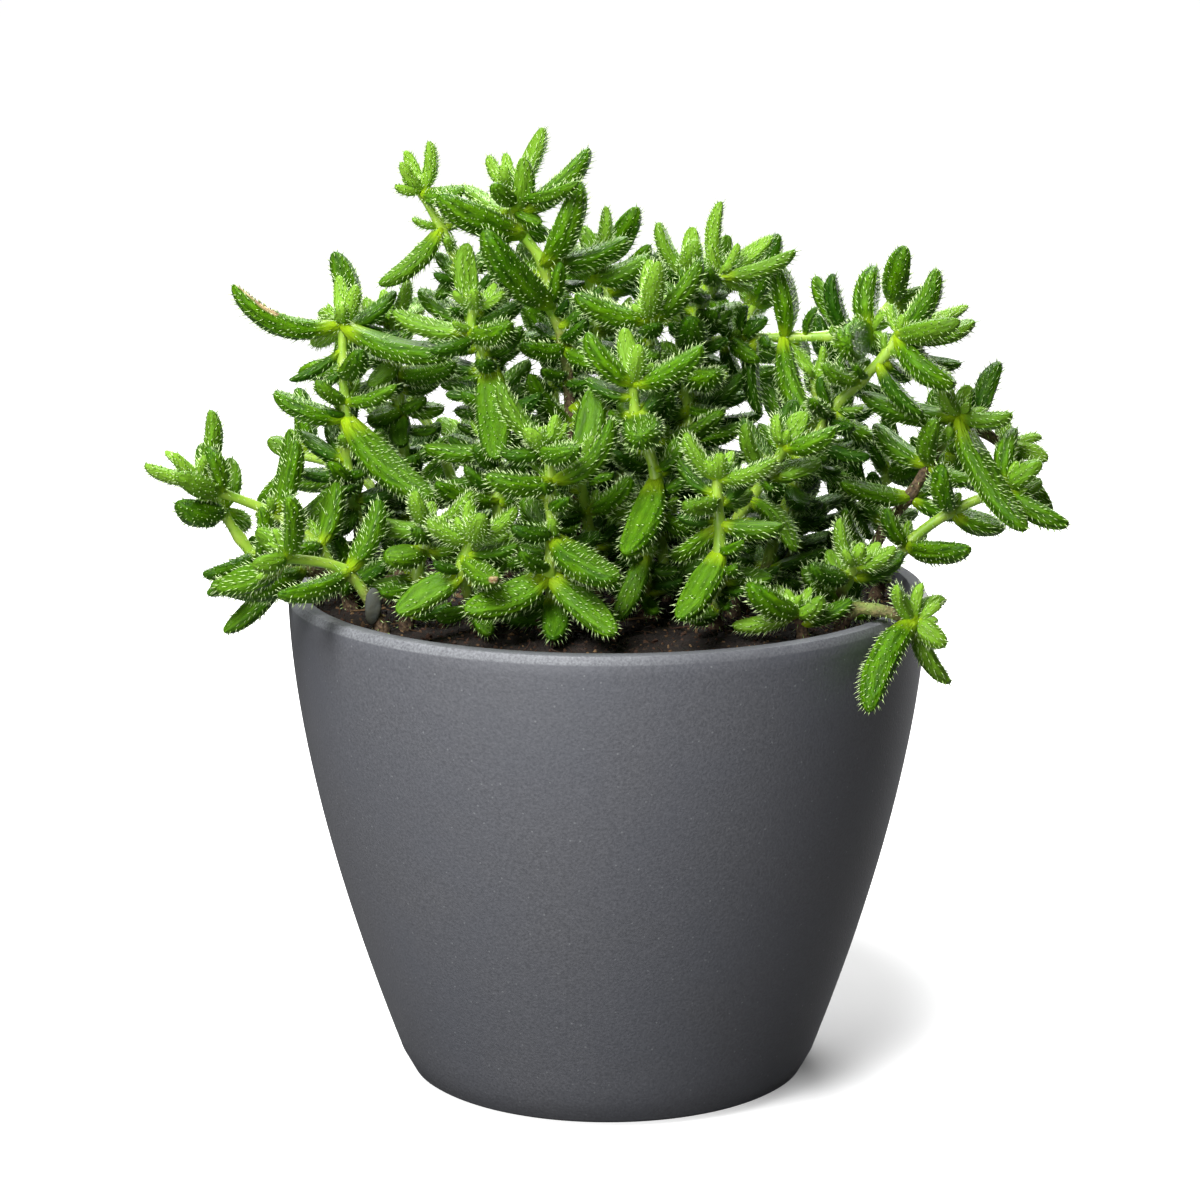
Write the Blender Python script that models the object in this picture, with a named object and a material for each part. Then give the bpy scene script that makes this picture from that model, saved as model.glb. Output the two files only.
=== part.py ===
"""A potted pickle plant: a turned planter, the soil that fills it, and the leafy stems that root in it.

Every length is in millimetres until a mesh is made, and each mesh is in metres. +Z is up, the origin is the
middle of the planter's underside, and the plant's best side faces -Y.
"""

import math
import random
from collections import namedtuple

import bmesh
import bpy
import numpy as np
from mathutils import Matrix, Vector, noise

MM = 0.001

# The planter.
POT_HEIGHT = 110.0
RIM_RADIUS = 70.0
WALL = 3.8
BASE_THICKNESS = 4.0
FOOT_RADIUS = 38.5
FOOT_FILLET = 8.0
FOOT_FILLET_END = 38.0
RIM_CHAMFER = 0.9
RIM_CHAMFER_DROP = 1.6
WALL_CURVE = ((46.2, 6.6), (60.5, 45.0), (69.2, 80.0), (RIM_RADIUS, POT_HEIGHT - RIM_CHAMFER_DROP))
OUTSIDE_STEPS = (0.0, 0.25, 0.5, 0.75, 1.0)
INSIDE_STEPS = (0.9, 0.5)
FLOOR_FILLET = 4.0
DRAIN_COUNT = 4
DRAIN_RADIUS = 4.0
DRAIN_CIRCLE = 21.0
DRAIN_SIDES = 8
TURNED_SIDES = 32
SHARP_ANGLE = 35.0

# The soil.
FIT_GAP = 0.3
SOIL_EDGE = 105.6
SOIL_DOME = 2.4
SOIL_RADIUS = RIM_RADIUS - WALL - FIT_GAP
SOIL_MIDDLE_RING = 36.0
SOIL_LUMPS = 0.45
SOIL_LUMP_SIZE = 9.0
HOLE_DEPTH = 8.0
HOLE_SIDES = 4
HOLE_CLEARANCE = 1.05

# The stems.
EYE = (0.0, -930.0, 309.0)
STEM_ROOT_RADIUS = 1.45
STEM_TIP_RADIUS = 1.0
STEM_SIDES = 4
ROOT_DEPTH = HOLE_DEPTH - FIT_GAP
COLLAR_HEIGHT = 1.0

# The leaves: a neck, a full middle up to the shoulder, and a blunt end.
LEAF_THICKNESS = 0.86
LEAF_BOW = 0.07
NECK_SHARE = 0.3
NECK_END = 0.32
SHOULDER = 0.66
BLUNTNESS = 2.6
LEAF_SINK = 1.5
LARGE_LEAF = 6.3
SMALL_LEAF = 3.9
RING_STEPS = (NECK_END, 0.84)
SMALL_RING_STEPS = (0.58,)
FACET_GROWTH = 1.08

# The bristles, as spines.
SPINE_HEIGHT = 1.3
SPINE_WIDTH = 0.55
SPINE_LEAN = 0.45

# The room that leaves and spines keep clear.
LEAF_GAP = 0.55
OWN_GAP = 0.1
OWN_REACH = 3.6
SOIL_CLEARANCE = 0.9
RIM_CLEARANCE = 0.5
SPINE_CLEARANCE = 0.35
STEM_BALL_STEP = 1.2
LEAF_BALL_STEP = 1.4

Leaf = namedtuple("Leaf", "joint right up back width bow", defaults=(LEAF_BOW,))
Shoot = namedtuple("Shoot", "name start stem leaves")
Stem = namedtuple("Stem", "node points radii")
Blade = namedtuple("Blade", "node base tip direction normal width bow spines")

# A shoot starts at a root, (right, back) in plan, or at a fork, (shoot, joint). Its stem then passes joints,
# (right, up, back), and its leaves name the joint that they grow from, 0 being the start. Right and up are
# where a point shows in the upright plane through the planter's axis, seen from EYE, and back is its depth.
SHOOTS = (
    Shoot("runner_left", (-41, 9), (
        (-47, 112, 8), (-58, 112, 3), (-67, 113.4, -4), (-71.5, 114, -7), (-76.5, 115.5, -9),
        (-80.5, 120.5, -10), (-84.5, 127, -11), (-89, 134, -12)), (
        Leaf(2, -60.5, 121.5, -2, 5.2), Leaf(3, -87, 108, -24, 6.6, 0.1), Leaf(3, -64, 123, 10, 5.4),
        Leaf(4, -84.5, 99.5, -10, 5.6), Leaf(5, -76, 129.5, -16, 5.2), Leaf(5, -69.5, 144.5, -2, 6.2),
        Leaf(5, -82, 110, -4, 4.2), Leaf(7, -94, 131, -22, 7.0, 0.12), Leaf(7, -82.5, 138.5, -5, 5.2),
        Leaf(7, -79.5, 121, -1, 4.6), Leaf(8, -86.5, 149, -13, 5.8), Leaf(8, -101, 137, -15, 4.4),
        Leaf(8, -94.5, 139.5, -16, 3.0), Leaf(8, -96.5, 140, -6, 2.6))),
    Shoot("tall_left", (-55, 17), (
        (-54.5, 113, 15), (-54, 121, 12), (-55.5, 128, 9), (-56.5, 134, 7), (-57, 141, 6),
        (-57, 147.5, 5), (-57.2, 151, 5), (-57.5, 160, 5), (-57.5, 168, 5)), (
        Leaf(4, -73, 117, 0, 7.0), Leaf(4, -60.5, 137.5, -1, 4.2), Leaf(4, -62, 140.5, 13, 3.4),
        Leaf(6, -72.5, 153, 3, 6.4), Leaf(6, -38.5, 129.5, -14, 8.0), Leaf(7, -63, 155.5, -2, 4.2),
        Leaf(7, -46, 154.5, -2, 4.6), Leaf(9, -81, 176.5, -2, 6.8, 0.16),
        Leaf(9, -32.5, 162, -6, 7.2, 0.08), Leaf(9, -54.5, 176.5, 2, 3.8), Leaf(9, -58, 178.5, 10, 3.4),
        Leaf(9, -64, 164, 15, 4.2))),
    Shoot("left_behind", (-42, 28), (
        (-42, 122, 26), (-44, 138, 23), (-45, 150, 21), (-46, 160, 19), (-47.5, 168, 17)), (
        Leaf(2, -35, 143, 20, 4.4), Leaf(2, -54, 136, 30, 5.6), Leaf(3, -52, 146.5, 16, 5.8),
        Leaf(3, -35.5, 149.5, 20, 5.0), Leaf(4, -51.5, 154, 13, 5.6), Leaf(5, -43.5, 178, 14, 4.6),
        Leaf(5, -52.5, 173.5, 16, 4.2), Leaf(5, -48.5, 175.5, 22, 2.8), Leaf(5, -40, 172, 28, 5.0))),
    Shoot("top_left", (-22, 24), (
        (-23, 130, 22), (-26, 152, 18), (-29, 169, 15), (-31, 178, 13), (-33.5, 184, 12), (-36, 189, 11),
        (-40, 196.5, 10)), (
        Leaf(2, -36, 158, 24, 5.2), Leaf(2, -17, 160, 22, 5.2), Leaf(3, -43, 175.5, 16, 5.8),
        Leaf(3, -21, 177, 20, 5.4), Leaf(4, -37, 183.5, 17, 3.6), Leaf(6, -49.5, 176.5, 5, 5.8),
        Leaf(6, -30, 193.5, 17, 4.2), Leaf(7, -38.5, 207.5, 9, 4.4), Leaf(7, -43.5, 205.5, 12, 3.0),
        Leaf(7, -44.5, 203, 5, 2.8))),
    Shoot("left_mid", (-24, -8), (
        (-24, 118, -7), (-24, 129, -6), (-24.5, 141, -6), (-25.5, 152, -7), (-26, 160, -9),
        (-29.5, 166.5, -11), (-29, 171.5, -12)), (
        Leaf(1, -35, 116, -16, 5.4), Leaf(2, -39.5, 133, -15, 5.8), Leaf(2, -12, 133, 0, 5.2),
        Leaf(3, -40, 141, -4, 5.4), Leaf(3, -15, 147, -12, 5.2), Leaf(5, -24.5, 138.5, -21, 7.2),
        Leaf(5, -19, 167, 2, 5.6), Leaf(6, -46.5, 168.5, -2, 5.0), Leaf(6, -22, 167.5, -25, 6.8),
        Leaf(7, -30.5, 185.5, -9, 5.4), Leaf(7, -22.5, 175, -14, 3.4), Leaf(7, -29, 175.5, -19, 3.2))),
    Shoot("crown", (-9, 3), (
        (-7, 125, 3), (-8, 146, 2), (-9.5, 163, 1), (-12.5, 172, 0), (-14, 181, -1), (-18.5, 187.5, -1),
        (-20, 192, -1), (-20.5, 197, 0)), (
        Leaf(1, -14, 123, -12, 5.4), Leaf(2, -17, 157, -9, 4.8), Leaf(2, 2, 146, -13, 5.6),
        Leaf(3, -21, 163.5, -9, 5.6), Leaf(3, 1, 160, -13, 5.6), Leaf(4, -26.5, 186, -10, 8.0),
        Leaf(4, -12.5, 181.5, -9, 3.8), Leaf(5, -6.5, 199, -7, 8.0), Leaf(5, 4.5, 189, -1, 6.6),
        Leaf(6, -36.5, 198, -7, 8.0, 0.04), Leaf(7, -18.3, 204, -6, 4.8), Leaf(7, -4, 206, 5, 6.8),
        Leaf(7, -31, 198, 10, 4.6), Leaf(8, -14, 210.5, 8, 5.2), Leaf(8, -25.5, 204.5, 1, 4.2),
        Leaf(8, -22, 205, 7, 2.8))),
    Shoot("crown_right", (4, 17), (
        (3, 130, 16), (1, 150, 14), (-2, 167, 12), (-4, 178, 10)), (
        Leaf(2, 11, 149, 25, 5.4), Leaf(2, -10, 150, 22, 5.4), Leaf(3, 6.5, 172.5, 3, 5.6),
        Leaf(3, -9, 172, 24, 5.4), Leaf(4, 9, 185, 6, 6.2), Leaf(4, -0.5, 193.5, 10, 4.0),
        Leaf(4, -4.5, 183, 2, 3.0), Leaf(4, -10, 186, 19, 4.6))),
    Shoot("mid_right", (13, -5), (
        (11.5, 122, -5), (10.5, 142, -6), (9.5, 157, -7), (9, 169, -8)), (
        Leaf(1, 22, 128, -13, 5.6), Leaf(1, 3, 128, -16, 5.6), Leaf(2, 25, 149, -13, 5.8),
        Leaf(2, -3, 141, 2, 5.4), Leaf(4, -7, 174.5, -13, 7.0), Leaf(4, 20, 182, -12, 6.4),
        Leaf(4, 13, 181.5, -16, 4.4), Leaf(4, 9, 182, -3, 4.2))),
    Shoot("top_right", (23, 5), (
        (20, 124, 5), (18, 143, 5), (17, 158, 4), (18, 167, 4), (21, 173.5, 4), (24, 178.5, 4)), (
        Leaf(1, 30, 131, 10, 5.4), Leaf(2, 29, 146, 0, 5.6), Leaf(2, 13, 141, 14, 5.2),
        Leaf(3, 23, 157, -13, 7.4), Leaf(3, 12, 164, 13, 5.2), Leaf(6, 24.5, 194.5, 3, 4.6),
        Leaf(6, 40.5, 184, 2, 5.4), Leaf(6, 28, 185.5, 4, 3.4), Leaf(6, 35.5, 187, 11, 4.2),
        Leaf(6, 31.5, 176, 10, 3.4))),
    Shoot("top_right_behind", (15, 27), (
        (14, 130, 26), (15, 153, 23), (16, 168, 20), (17, 178, 18)), (
        Leaf(2, 27, 154, 28, 5.4), Leaf(2, 3, 158, 28, 5.2), Leaf(3, 29, 172.5, 24, 5.4),
        Leaf(3, 6, 175, 26, 5.0), Leaf(4, 11, 190, 17, 4.8), Leaf(4, 18.3, 189, 20, 4.0),
        Leaf(4, 19, 186, 10, 4.8), Leaf(4, 24, 184, 26, 4.4))),
    Shoot("front_top", (8, -24), (
        (8.5, 118, -33), (10.5, 127, -33), (10.5, 134, -33), (8.5, 141, -32), (6, 148, -32),
        (5.5, 155, -33)), (
        Leaf(1, 2, 102, -44, 4.6), Leaf(2, 19, 122, -28, 5.4), Leaf(2, -1, 128, -23, 5.2),
        Leaf(3, 4, 115, -44, 7.2), Leaf(3, 15, 143, -28, 4.0), Leaf(5, 7, 143, -50, 8.0),
        Leaf(5, 4, 152, -18, 6.0), Leaf(6, -4.5, 166, -36, 6.8), Leaf(6, 20.5, 163, -39, 6.8),
        Leaf(6, 6.5, 163.5, -39, 3.6), Leaf(6, 3.5, 167, -29, 4.2))),
    Shoot("front_mid", (-11, -29), (
        (-13, 112.5, -46), (-12.2, 121, -46), (-12.5, 128, -46), (-12.5, 133.5, -46), (-13.5, 141, -46)),
        (
        Leaf(1, -31.5, 104.5, -54, 7.2), Leaf(1, 1.5, 99, -58, 6.6), Leaf(2, 2, 111.5, -60, 8.2),
        Leaf(2, -18, 130, -35, 5.8), Leaf(4, -26.5, 134.5, -52, 6.6), Leaf(4, 0.5, 147, -48, 6.4, 0.16),
        Leaf(5, -23.5, 155, -45, 5.8), Leaf(5, -17.8, 145, -52, 4.2), Leaf(5, -11.5, 148, -48, 3.8),
        Leaf(5, -7, 140.5, -59, 6.4))),
    Shoot("front_left", (-28, -29), (
        (-32, 113, -45), (-31.3, 116.5, -46), (-30, 120.5, -47)), (
        Leaf(1, -46.5, 104, -50, 6.4), Leaf(2, -25, 109, -57, 5.8), Leaf(2, -22, 122, -38, 5.2),
        Leaf(3, -39.5, 124.5, -50, 5.0), Leaf(3, -20, 127.5, -50, 4.8), Leaf(3, -30, 129, -46, 3.4),
        Leaf(3, -27.5, 126, -56, 4.8))),
    Shoot("front_right", (23, -31), (
        (24.7, 112, -43), (24.5, 118, -44), (24.3, 124, -44), (23.8, 129.5, -44), (24, 134, -44)), (
        Leaf(1, 36, 112, -38, 5.2), Leaf(2, 15.5, 102.5, -53, 6.8), Leaf(2, 29.5, 120, -50, 3.4),
        Leaf(3, 38.5, 121, -51, 5.6), Leaf(3, 14, 119, -32, 5.4), Leaf(4, 17, 128, -54, 5.2),
        Leaf(4, 31, 131, -30, 5.0), Leaf(5, 17, 144, -46, 4.8), Leaf(5, 36.5, 138, -49, 5.0),
        Leaf(5, 24.3, 139.5, -49, 3.4))),
    Shoot("right_mid", (27, -19), (
        (27, 121, -21), (31, 129, -22), (35, 134.5, -24), (38.5, 141, -26)), (
        Leaf(1, 18, 127, -24, 5.0), Leaf(1, 40, 125, -12, 5.4), Leaf(2, 41, 117.5, -33, 5.4, -0.14),
        Leaf(2, 24, 140, -13, 5.4), Leaf(3, 46.5, 138, -21, 5.0), Leaf(3, 30, 146, -29, 5.0),
        Leaf(4, 49.5, 145, -31, 6.4), Leaf(4, 37, 148, -28, 4.0), Leaf(4, 43, 148.5, -25, 4.4))),
    Shoot("right_low", (50, -24), (
        (51, 107, -27), (52.5, 111, -29), (54, 114.5, -30)), (
        Leaf(1, 43, 114, -31, 5.2), Leaf(1, 57, 103.5, -33, 4.8), Leaf(2, 48.5, 118, -20, 4.8),
        Leaf(3, 51, 125, -31, 4.8), Leaf(3, 63, 118.5, -32, 4.8), Leaf(3, 55.8, 119.5, -34, 3.2))),
    Shoot("over_rim", (49, -35), (
        (54, 104.5, -37), (59, 104.4, -39), (63.5, 103.5, -40), (67.5, 102, -39)), (
        Leaf(4, 55.5, 81.5, -53, 8.2), Leaf(4, 75.5, 88, -36, 5.4), Leaf(4, 74.5, 96.5, -43, 4.8),
        Leaf(4, 74, 106.5, -33, 4.8), Leaf(4, 69, 110.5, -38, 3.4), Leaf(4, 63.5, 107.5, -45, 4.4),
        Leaf(4, 66, 95, -47, 3.8))),
    Shoot("on_soil_right", (41, -41), (
        (41.5, 104, -42),), (
        Leaf(1, 31, 110.5, -51, 7.0), Leaf(1, 47, 107, -46, 5.4), Leaf(1, 36, 110, -34, 5.0),
        Leaf(1, 27, 101, -55, 4.6))),
    Shoot("arch_right", (19, 15), (
        (17, 130, 16), (16.5, 150, 17), (19, 162, 17), (27, 164.5, 15), (38.5, 165, 12), (48, 165.2, 9),
        (57, 166, 7)), (
        Leaf(1, 28, 137, 22, 5.2), Leaf(2, 7, 152, 16, 5.0), Leaf(4, 25, 172, 12, 4.4),
        Leaf(4, 33, 160, 8, 4.8), Leaf(5, 34, 181, 9, 7.2, -0.1), Leaf(5, 46.5, 147, 4, 7.2),
        Leaf(7, 52, 163.5, -10, 8.4), Leaf(7, 58, 180.5, 12, 7.6))),
    Shoot("upper_right", (34, 3), (
        (37, 122, 2), (43, 138, 1), (49, 149, 0), (55, 155.5, -1), (60.5, 161.5, -2), (63, 165.5, -2)), (
        Leaf(1, 29, 129, -7, 5.4), Leaf(1, 48, 128, 10, 5.4), Leaf(2, 33, 146, 10, 5.6),
        Leaf(3, 58, 143, 0, 5.6), Leaf(3, 41, 152, -7, 5.2), Leaf(4, 47, 161, -8, 4.6),
        Leaf(6, 71, 180, -2, 6.8), Leaf(6, 75.5, 154.5, -10, 8.0), Leaf(6, 76, 166.5, -14, 5.6),
        Leaf(6, 79.5, 168.5, 4, 5.6), Leaf(6, 80.5, 172, 11, 3.8), Leaf(6, 71.5, 175.5, 8, 3.8),
        Leaf(6, 79, 161.5, 8, 5.4))),
    Shoot("lower_right", (53, 15), (
        (57.5, 117, 11), (61, 123.5, 9), (66, 130, 8), (70, 137, 7), (73, 142, 6), (76.5, 148, 5)), (
        Leaf(1, 52, 127, 3, 5.0), Leaf(2, 70, 121, 8, 4.0), Leaf(2, 56, 133, 16, 5.0),
        Leaf(3, 51, 133, 0, 5.8), Leaf(3, 78.5, 125.5, 10, 4.8), Leaf(3, 75, 134, 16, 3.8),
        Leaf(4, 71.5, 147, -3, 4.8), Leaf(4, 58, 146, 13, 6.6), Leaf(4, 80, 133.5, 4, 5.2),
        Leaf(6, 55, 150.5, 2, 6.8), Leaf(6, 91.5, 122.5, -5, 8.0), Leaf(6, 88, 148, 0, 5.6),
        Leaf(6, 72.5, 154, 2, 4.4), Leaf(6, 78.5, 154.5, 8, 3.8))),
    Shoot("lower_right_fork", ("lower_right", 6), (
        (81.5, 144.5, 10), (87, 140.5, 13)), (
        Leaf(2, 97, 126, 11, 6.2), Leaf(2, 94.5, 143, 16, 3.2), Leaf(2, 96, 138, 12, 4.0),
        Leaf(2, 86.5, 147.5, 17, 4.0))),
    Shoot("inner_right", (39, 17), (
        (41, 124, 15), (43, 139, 12), (45.5, 149, 9), (45, 156, 7)), (
        Leaf(1, 33, 130, 25, 5.4), Leaf(2, 33, 143, 23, 5.4), Leaf(2, 53, 134, 20, 5.4),
        Leaf(3, 38, 154, 20, 5.4), Leaf(4, 57, 160, 1, 5.0), Leaf(4, 46.5, 163, 5, 3.6),
        Leaf(4, 36, 158, 0, 4.8))),
    Shoot("low_left", (-43, -28), (
        (-42, 112, -29), (-40.5, 118, -30), (-38.5, 123, -30)), (
        Leaf(1, -52, 110, -28, 4.8), Leaf(1, -33, 110, -30, 5.0), Leaf(2, -48.5, 116.5, -38, 6.2),
        Leaf(2, -31, 121, -22, 5.4), Leaf(3, -53, 125, -26, 5.6), Leaf(3, -29.5, 131, -31, 5.2),
        Leaf(3, -42, 131, -37, 4.4))),
)

# The shoots of the far side and the flanks grow by rule: a root, the way they lean and how far, and a seed.
Grown = namedtuple("Grown", "name root azimuth lean joints seed")
GROWN_SHOOTS = (
    Grown("back_1", (-8, 40), 100, 34, 5, 11), Grown("back_2", (18, 44), 66, 40, 5, 12),
    Grown("back_3", (-30, 40), 126, 52, 5, 13), Grown("back_4", (38, 36), 44, 44, 5, 14),
    Grown("back_5", (4, 56), 88, 66, 3, 15), Grown("back_6", (-22, 53), 112, 70, 3, 16),
    Grown("back_7", (30, 51), 58, 68, 3, 17), Grown("back_8", (-46, 39), 142, 62, 3, 18),
    Grown("back_9", (50, 30), 28, 60, 3, 19), Grown("side_left", (-56, -8), 188, 56, 3, 20),
    Grown("side_right", (59, 2), -4, 62, 3, 21), Grown("middle", (2, 30), 95, 16, 5, 22),
    Grown("front_low", (-2, -20), 250, 30, 3, 23), Grown("left_front_low", (-48, -32), 214, 58, 2, 24),
)
INTERNODE = 13.5
GROWN_LEAF = 17.0
GROWN_LEAF_WIDTH = 6.2
LEAF_RISE = 0.15

# The undergrowth: plain leaves low on the stems.
UNDERGROWTH_SEED = 31
UNDERGROWTH_STEP = 9.0
UNDERGROWTH_TOP = 165.0
UNDERGROWTH_FRONT = -52.0
UNDERGROWTH_LEAF = 15.5
UNDERGROWTH_WIDTH = 5.6
UNDERGROWTH_COUNT = 62

# Where a leaf's own place is taken, it is turned aside, and then made smaller.
SHRINKS = (1.0, 0.9, 0.8, 0.7)
SHIFTS = (0.0, -3.0, 3.0, -6.0, 6.0, -9.5, 9.5, -13.0, 13.0)
SIDE_STEPS = ((0.0, 0.0), (0.0, 2.2), (0.0, -2.2), (2.2, 0.0), (-2.2, 0.0))


def unit(vector):
    """A vector's direction."""
    return vector / max(np.linalg.norm(vector), 1e-9)


def seen(right, up, back):
    """The place at depth back that shows at (right, up) in the upright plane through the planter's axis."""
    eye = np.array(EYE)
    share = (back - eye[1]) / -eye[1]
    return eye + share * (np.array((right, 0.0, up)) - eye)


def soil_height(x, y):
    """The soil's surface, without its lumps: a low dome."""
    return SOIL_EDGE + SOIL_DOME * (1 - (x * x + y * y) / SOIL_RADIUS**2)


def leaf_radius(t, width):
    """Half the width at t along a leaf: a narrow neck, a full middle and a blunt round end."""
    neck = NECK_SHARE + (1 - NECK_SHARE) * min(1.0, t / NECK_END) ** 0.8
    past_shoulder = max(0.0, (t - SHOULDER) / (1 - SHOULDER))
    return width / 2 * neck * math.sqrt(max(0.0, 1 - past_shoulder**BLUNTNESS))


def leaf_axis(base, tip, normal, bow, t):
    """A point on a leaf's bowed axis. A leaf with a positive bow turns its end towards its upper side."""
    length = np.linalg.norm(tip - base)
    return base + (tip - base) * t - normal * (bow * length * 4 * t * (1 - t))


def upper_side(along, direction):
    """The unit vector across a leaf that faces the way its stem grows."""
    across = direction - along * np.dot(direction, along)
    if np.linalg.norm(across) < 0.2:
        across = np.array((0.0, 0.0, 1.0)) - along * along[2]
    return unit(across)


class Room:
    """The space that stems and leaves have taken, as balls, each with the node that holds it."""

    def __init__(self):
        self.centres = np.zeros((0, 3))
        self.radii = np.zeros(0)
        self.nodes = np.zeros(0, int)

    def add(self, centres, radii, node):
        self.centres = np.vstack((self.centres, centres))
        self.radii = np.append(self.radii, radii)
        self.nodes = np.append(self.nodes, np.full(len(radii), node))

    def free(self, centres, radii, node, gap, base=None):
        """True if balls here would stay clear of every other node, by gap. With a base, they also have to
        stay clear of their own node, apart from what lies round that base."""
        others = self.nodes != node
        gaps = np.full(len(self.radii), gap)
        if base is not None:
            near = np.linalg.norm(self.centres - base, axis=1) < self.radii + OWN_REACH
            gaps[~others] = OWN_GAP
            others = others | ~near
        apart = centres[:, None, :] - self.centres[others][None, :, :]
        reach = radii[:, None] + self.radii[others][None, :] + gaps[others][None, :]
        return bool((np.einsum("ijk,ijk->ij", apart, apart) > reach * reach).all())


def clear_of_pot(centres, radii):
    """True if these balls stay above the soil, and off the planter's wall and rim."""
    across = np.hypot(centres[:, 0], centres[:, 1])
    inner = RIM_RADIUS - WALL
    sideways = np.maximum(np.maximum(inner - across, across - RIM_RADIUS), 0)
    above = np.maximum(centres[:, 2] - POT_HEIGHT, 0)
    wall = np.hypot(sideways, above) > radii + RIM_CLEARANCE
    soil = centres[:, 2] - radii > soil_height(centres[:, 0], centres[:, 1]) + SOIL_CLEARANCE
    return bool((wall & (soil | (across > inner))).all())


def stem_balls(points, radii):
    """The balls that fill a stem."""
    centres, sizes = [], []
    for k in range(len(points) - 1):
        steps = max(2, int(np.linalg.norm(points[k + 1] - points[k]) / STEM_BALL_STEP))
        for t in np.linspace(0, 1, steps, endpoint=False):
            centres.append(points[k] * (1 - t) + points[k + 1] * t)
            sizes.append(radii[k] * (1 - t) + radii[k + 1] * t)
    return np.array(centres + [points[-1]]), np.array(sizes + [radii[-1]])


def leaf_balls(base, tip, normal, width, bow):
    """The balls that fill a leaf, but for its neck."""
    places = np.linspace(0.12, 0.97, max(6, int(np.linalg.norm(tip - base) / LEAF_BALL_STEP)))
    centres = np.array([leaf_axis(base, tip, normal, bow, t) for t in places])
    return centres, np.array([max(0.5, leaf_radius(t, width)) for t in places])


def rooted(x, y, joints):
    """A stem's points from the foot of its hole in the soil, through the collar just above the soil."""
    ground = soil_height(x, y)
    return [np.array((x, y, ground - ROOT_DEPTH)), np.array((x, y, ground + COLLAR_HEIGHT))] + joints


def tapered(node, points):
    """A stem through these points, thinner towards its tip."""
    return Stem(node, points, np.linspace(STEM_ROOT_RADIUS, STEM_TIP_RADIUS, len(points)))


def joint_direction(points, k):
    """The way a stem grows at one of its points."""
    return unit(points[min(k + 1, len(points) - 1)] - points[max(k - 1, 0)])


def grown_shoot(recipe):
    """The joints and leaves of a shoot that grows by rule: it leans outwards, and each pair of leaves
    stands across the pair below it."""
    draw = random.Random(recipe.seed)
    azimuth, lean = math.radians(recipe.azimuth), math.radians(recipe.lean)
    place = np.array((*recipe.root, soil_height(*recipe.root) + COLLAR_HEIGHT))
    joints, leaves, turn = [], [], draw.uniform(0, math.pi)
    for k in range(recipe.joints):
        tilt = lean * (0.45 + 0.75 * k / max(1, recipe.joints - 1)) + draw.uniform(-0.12, 0.12)
        heading = azimuth + draw.uniform(-0.25, 0.25)
        outward = np.array((math.cos(heading), math.sin(heading), 0.0))
        way = outward * math.sin(tilt) + np.array((0.0, 0.0, math.cos(tilt)))
        place = place + way * INTERNODE * draw.uniform(0.85, 1.15)
        joints.append(place)
        across = unit(np.cross(way, (math.cos(turn), math.sin(turn), 0.3)))
        last = k == recipe.joints - 1
        sizes = ((1.0, 0.95), (0.5, 0.55)) if last else ((1.0, 1.0),)
        for size, spread in sizes:
            for side in (1, -1):
                out = unit(across * side * spread + way * (1.35 - spread) + np.array((0, 0, LEAF_RISE)))
                length = GROWN_LEAF * size * draw.uniform(0.85, 1.15)
                leaves.append((k + 1, place + out * length, GROWN_LEAF_WIDTH * (0.45 + 0.55 * size)))
            across = np.cross(way, across)
        turn += math.pi / 2 + draw.uniform(-0.3, 0.3)
    return joints, leaves


def place_leaf(room, wanted, shifts=SHIFTS):
    """The blade nearest the wanted one that stays clear of its neighbours, or None if there is no room."""
    node, base = wanted.node, wanted.base
    sight = unit(base - np.array(EYE))
    side = unit(np.cross(sight, (0.0, 0.0, 1.0)))
    rise = np.cross(side, sight)
    for shrink in SHRINKS:
        width = wanted.width * (0.4 + 0.6 * shrink)
        for shift in shifts:
            for right, up in SIDE_STEPS:
                way = wanted.tip + sight * shift + side * right + rise * up - base
                tip = base + way * shrink
                normal = upper_side(unit(way), wanted.direction)
                centres, radii = leaf_balls(base, tip, normal, width, wanted.bow)
                if clear_of_pot(centres, radii) and room.free(centres, radii, node, LEAF_GAP, base):
                    room.add(centres, radii, node)
                    return wanted._replace(tip=tip, normal=normal, width=width)
    return None


def spine_count(width):
    """Large leaves carry two spines and the others one."""
    return 2 if width > LARGE_LEAF else 1


def undergrowth(room, stems):
    """The plain leaves low on the stems, in crossing pairs, wherever there is room for them."""
    draw = random.Random(UNDERGROWTH_SEED)
    places = []
    for stem in stems:
        turn = draw.uniform(0, math.pi)
        for first, second in zip(stem.points, stem.points[1:]):
            if first[2] < SOIL_EDGE or second[2] - first[2] < 2.0:
                continue
            for t in np.arange(0.35, 1.0, UNDERGROWTH_STEP / np.linalg.norm(second - first)):
                base = first * (1 - t) + second * t
                if base[2] < UNDERGROWTH_TOP:
                    places.append((stem.node, base, unit(second - first), turn))
                turn += math.pi / 2 + draw.uniform(-0.4, 0.4)
    draw.shuffle(places)
    blades = []
    for node, base, direction, turn in places:
        side = unit(np.cross(direction, (math.cos(turn), math.sin(turn), 0.2)))
        for way in (side, -side):
            length = UNDERGROWTH_LEAF * draw.uniform(0.85, 1.15)
            tip = base + unit(way + direction * draw.uniform(0.1, 0.7)) * length
            if tip[1] > UNDERGROWTH_FRONT and len(blades) < UNDERGROWTH_COUNT:
                wanted = Blade(node, base, tip, direction, None, UNDERGROWTH_WIDTH, LEAF_BOW, 0)
                blades.append(place_leaf(room, wanted, (0.0,)))
    return blades


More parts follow.
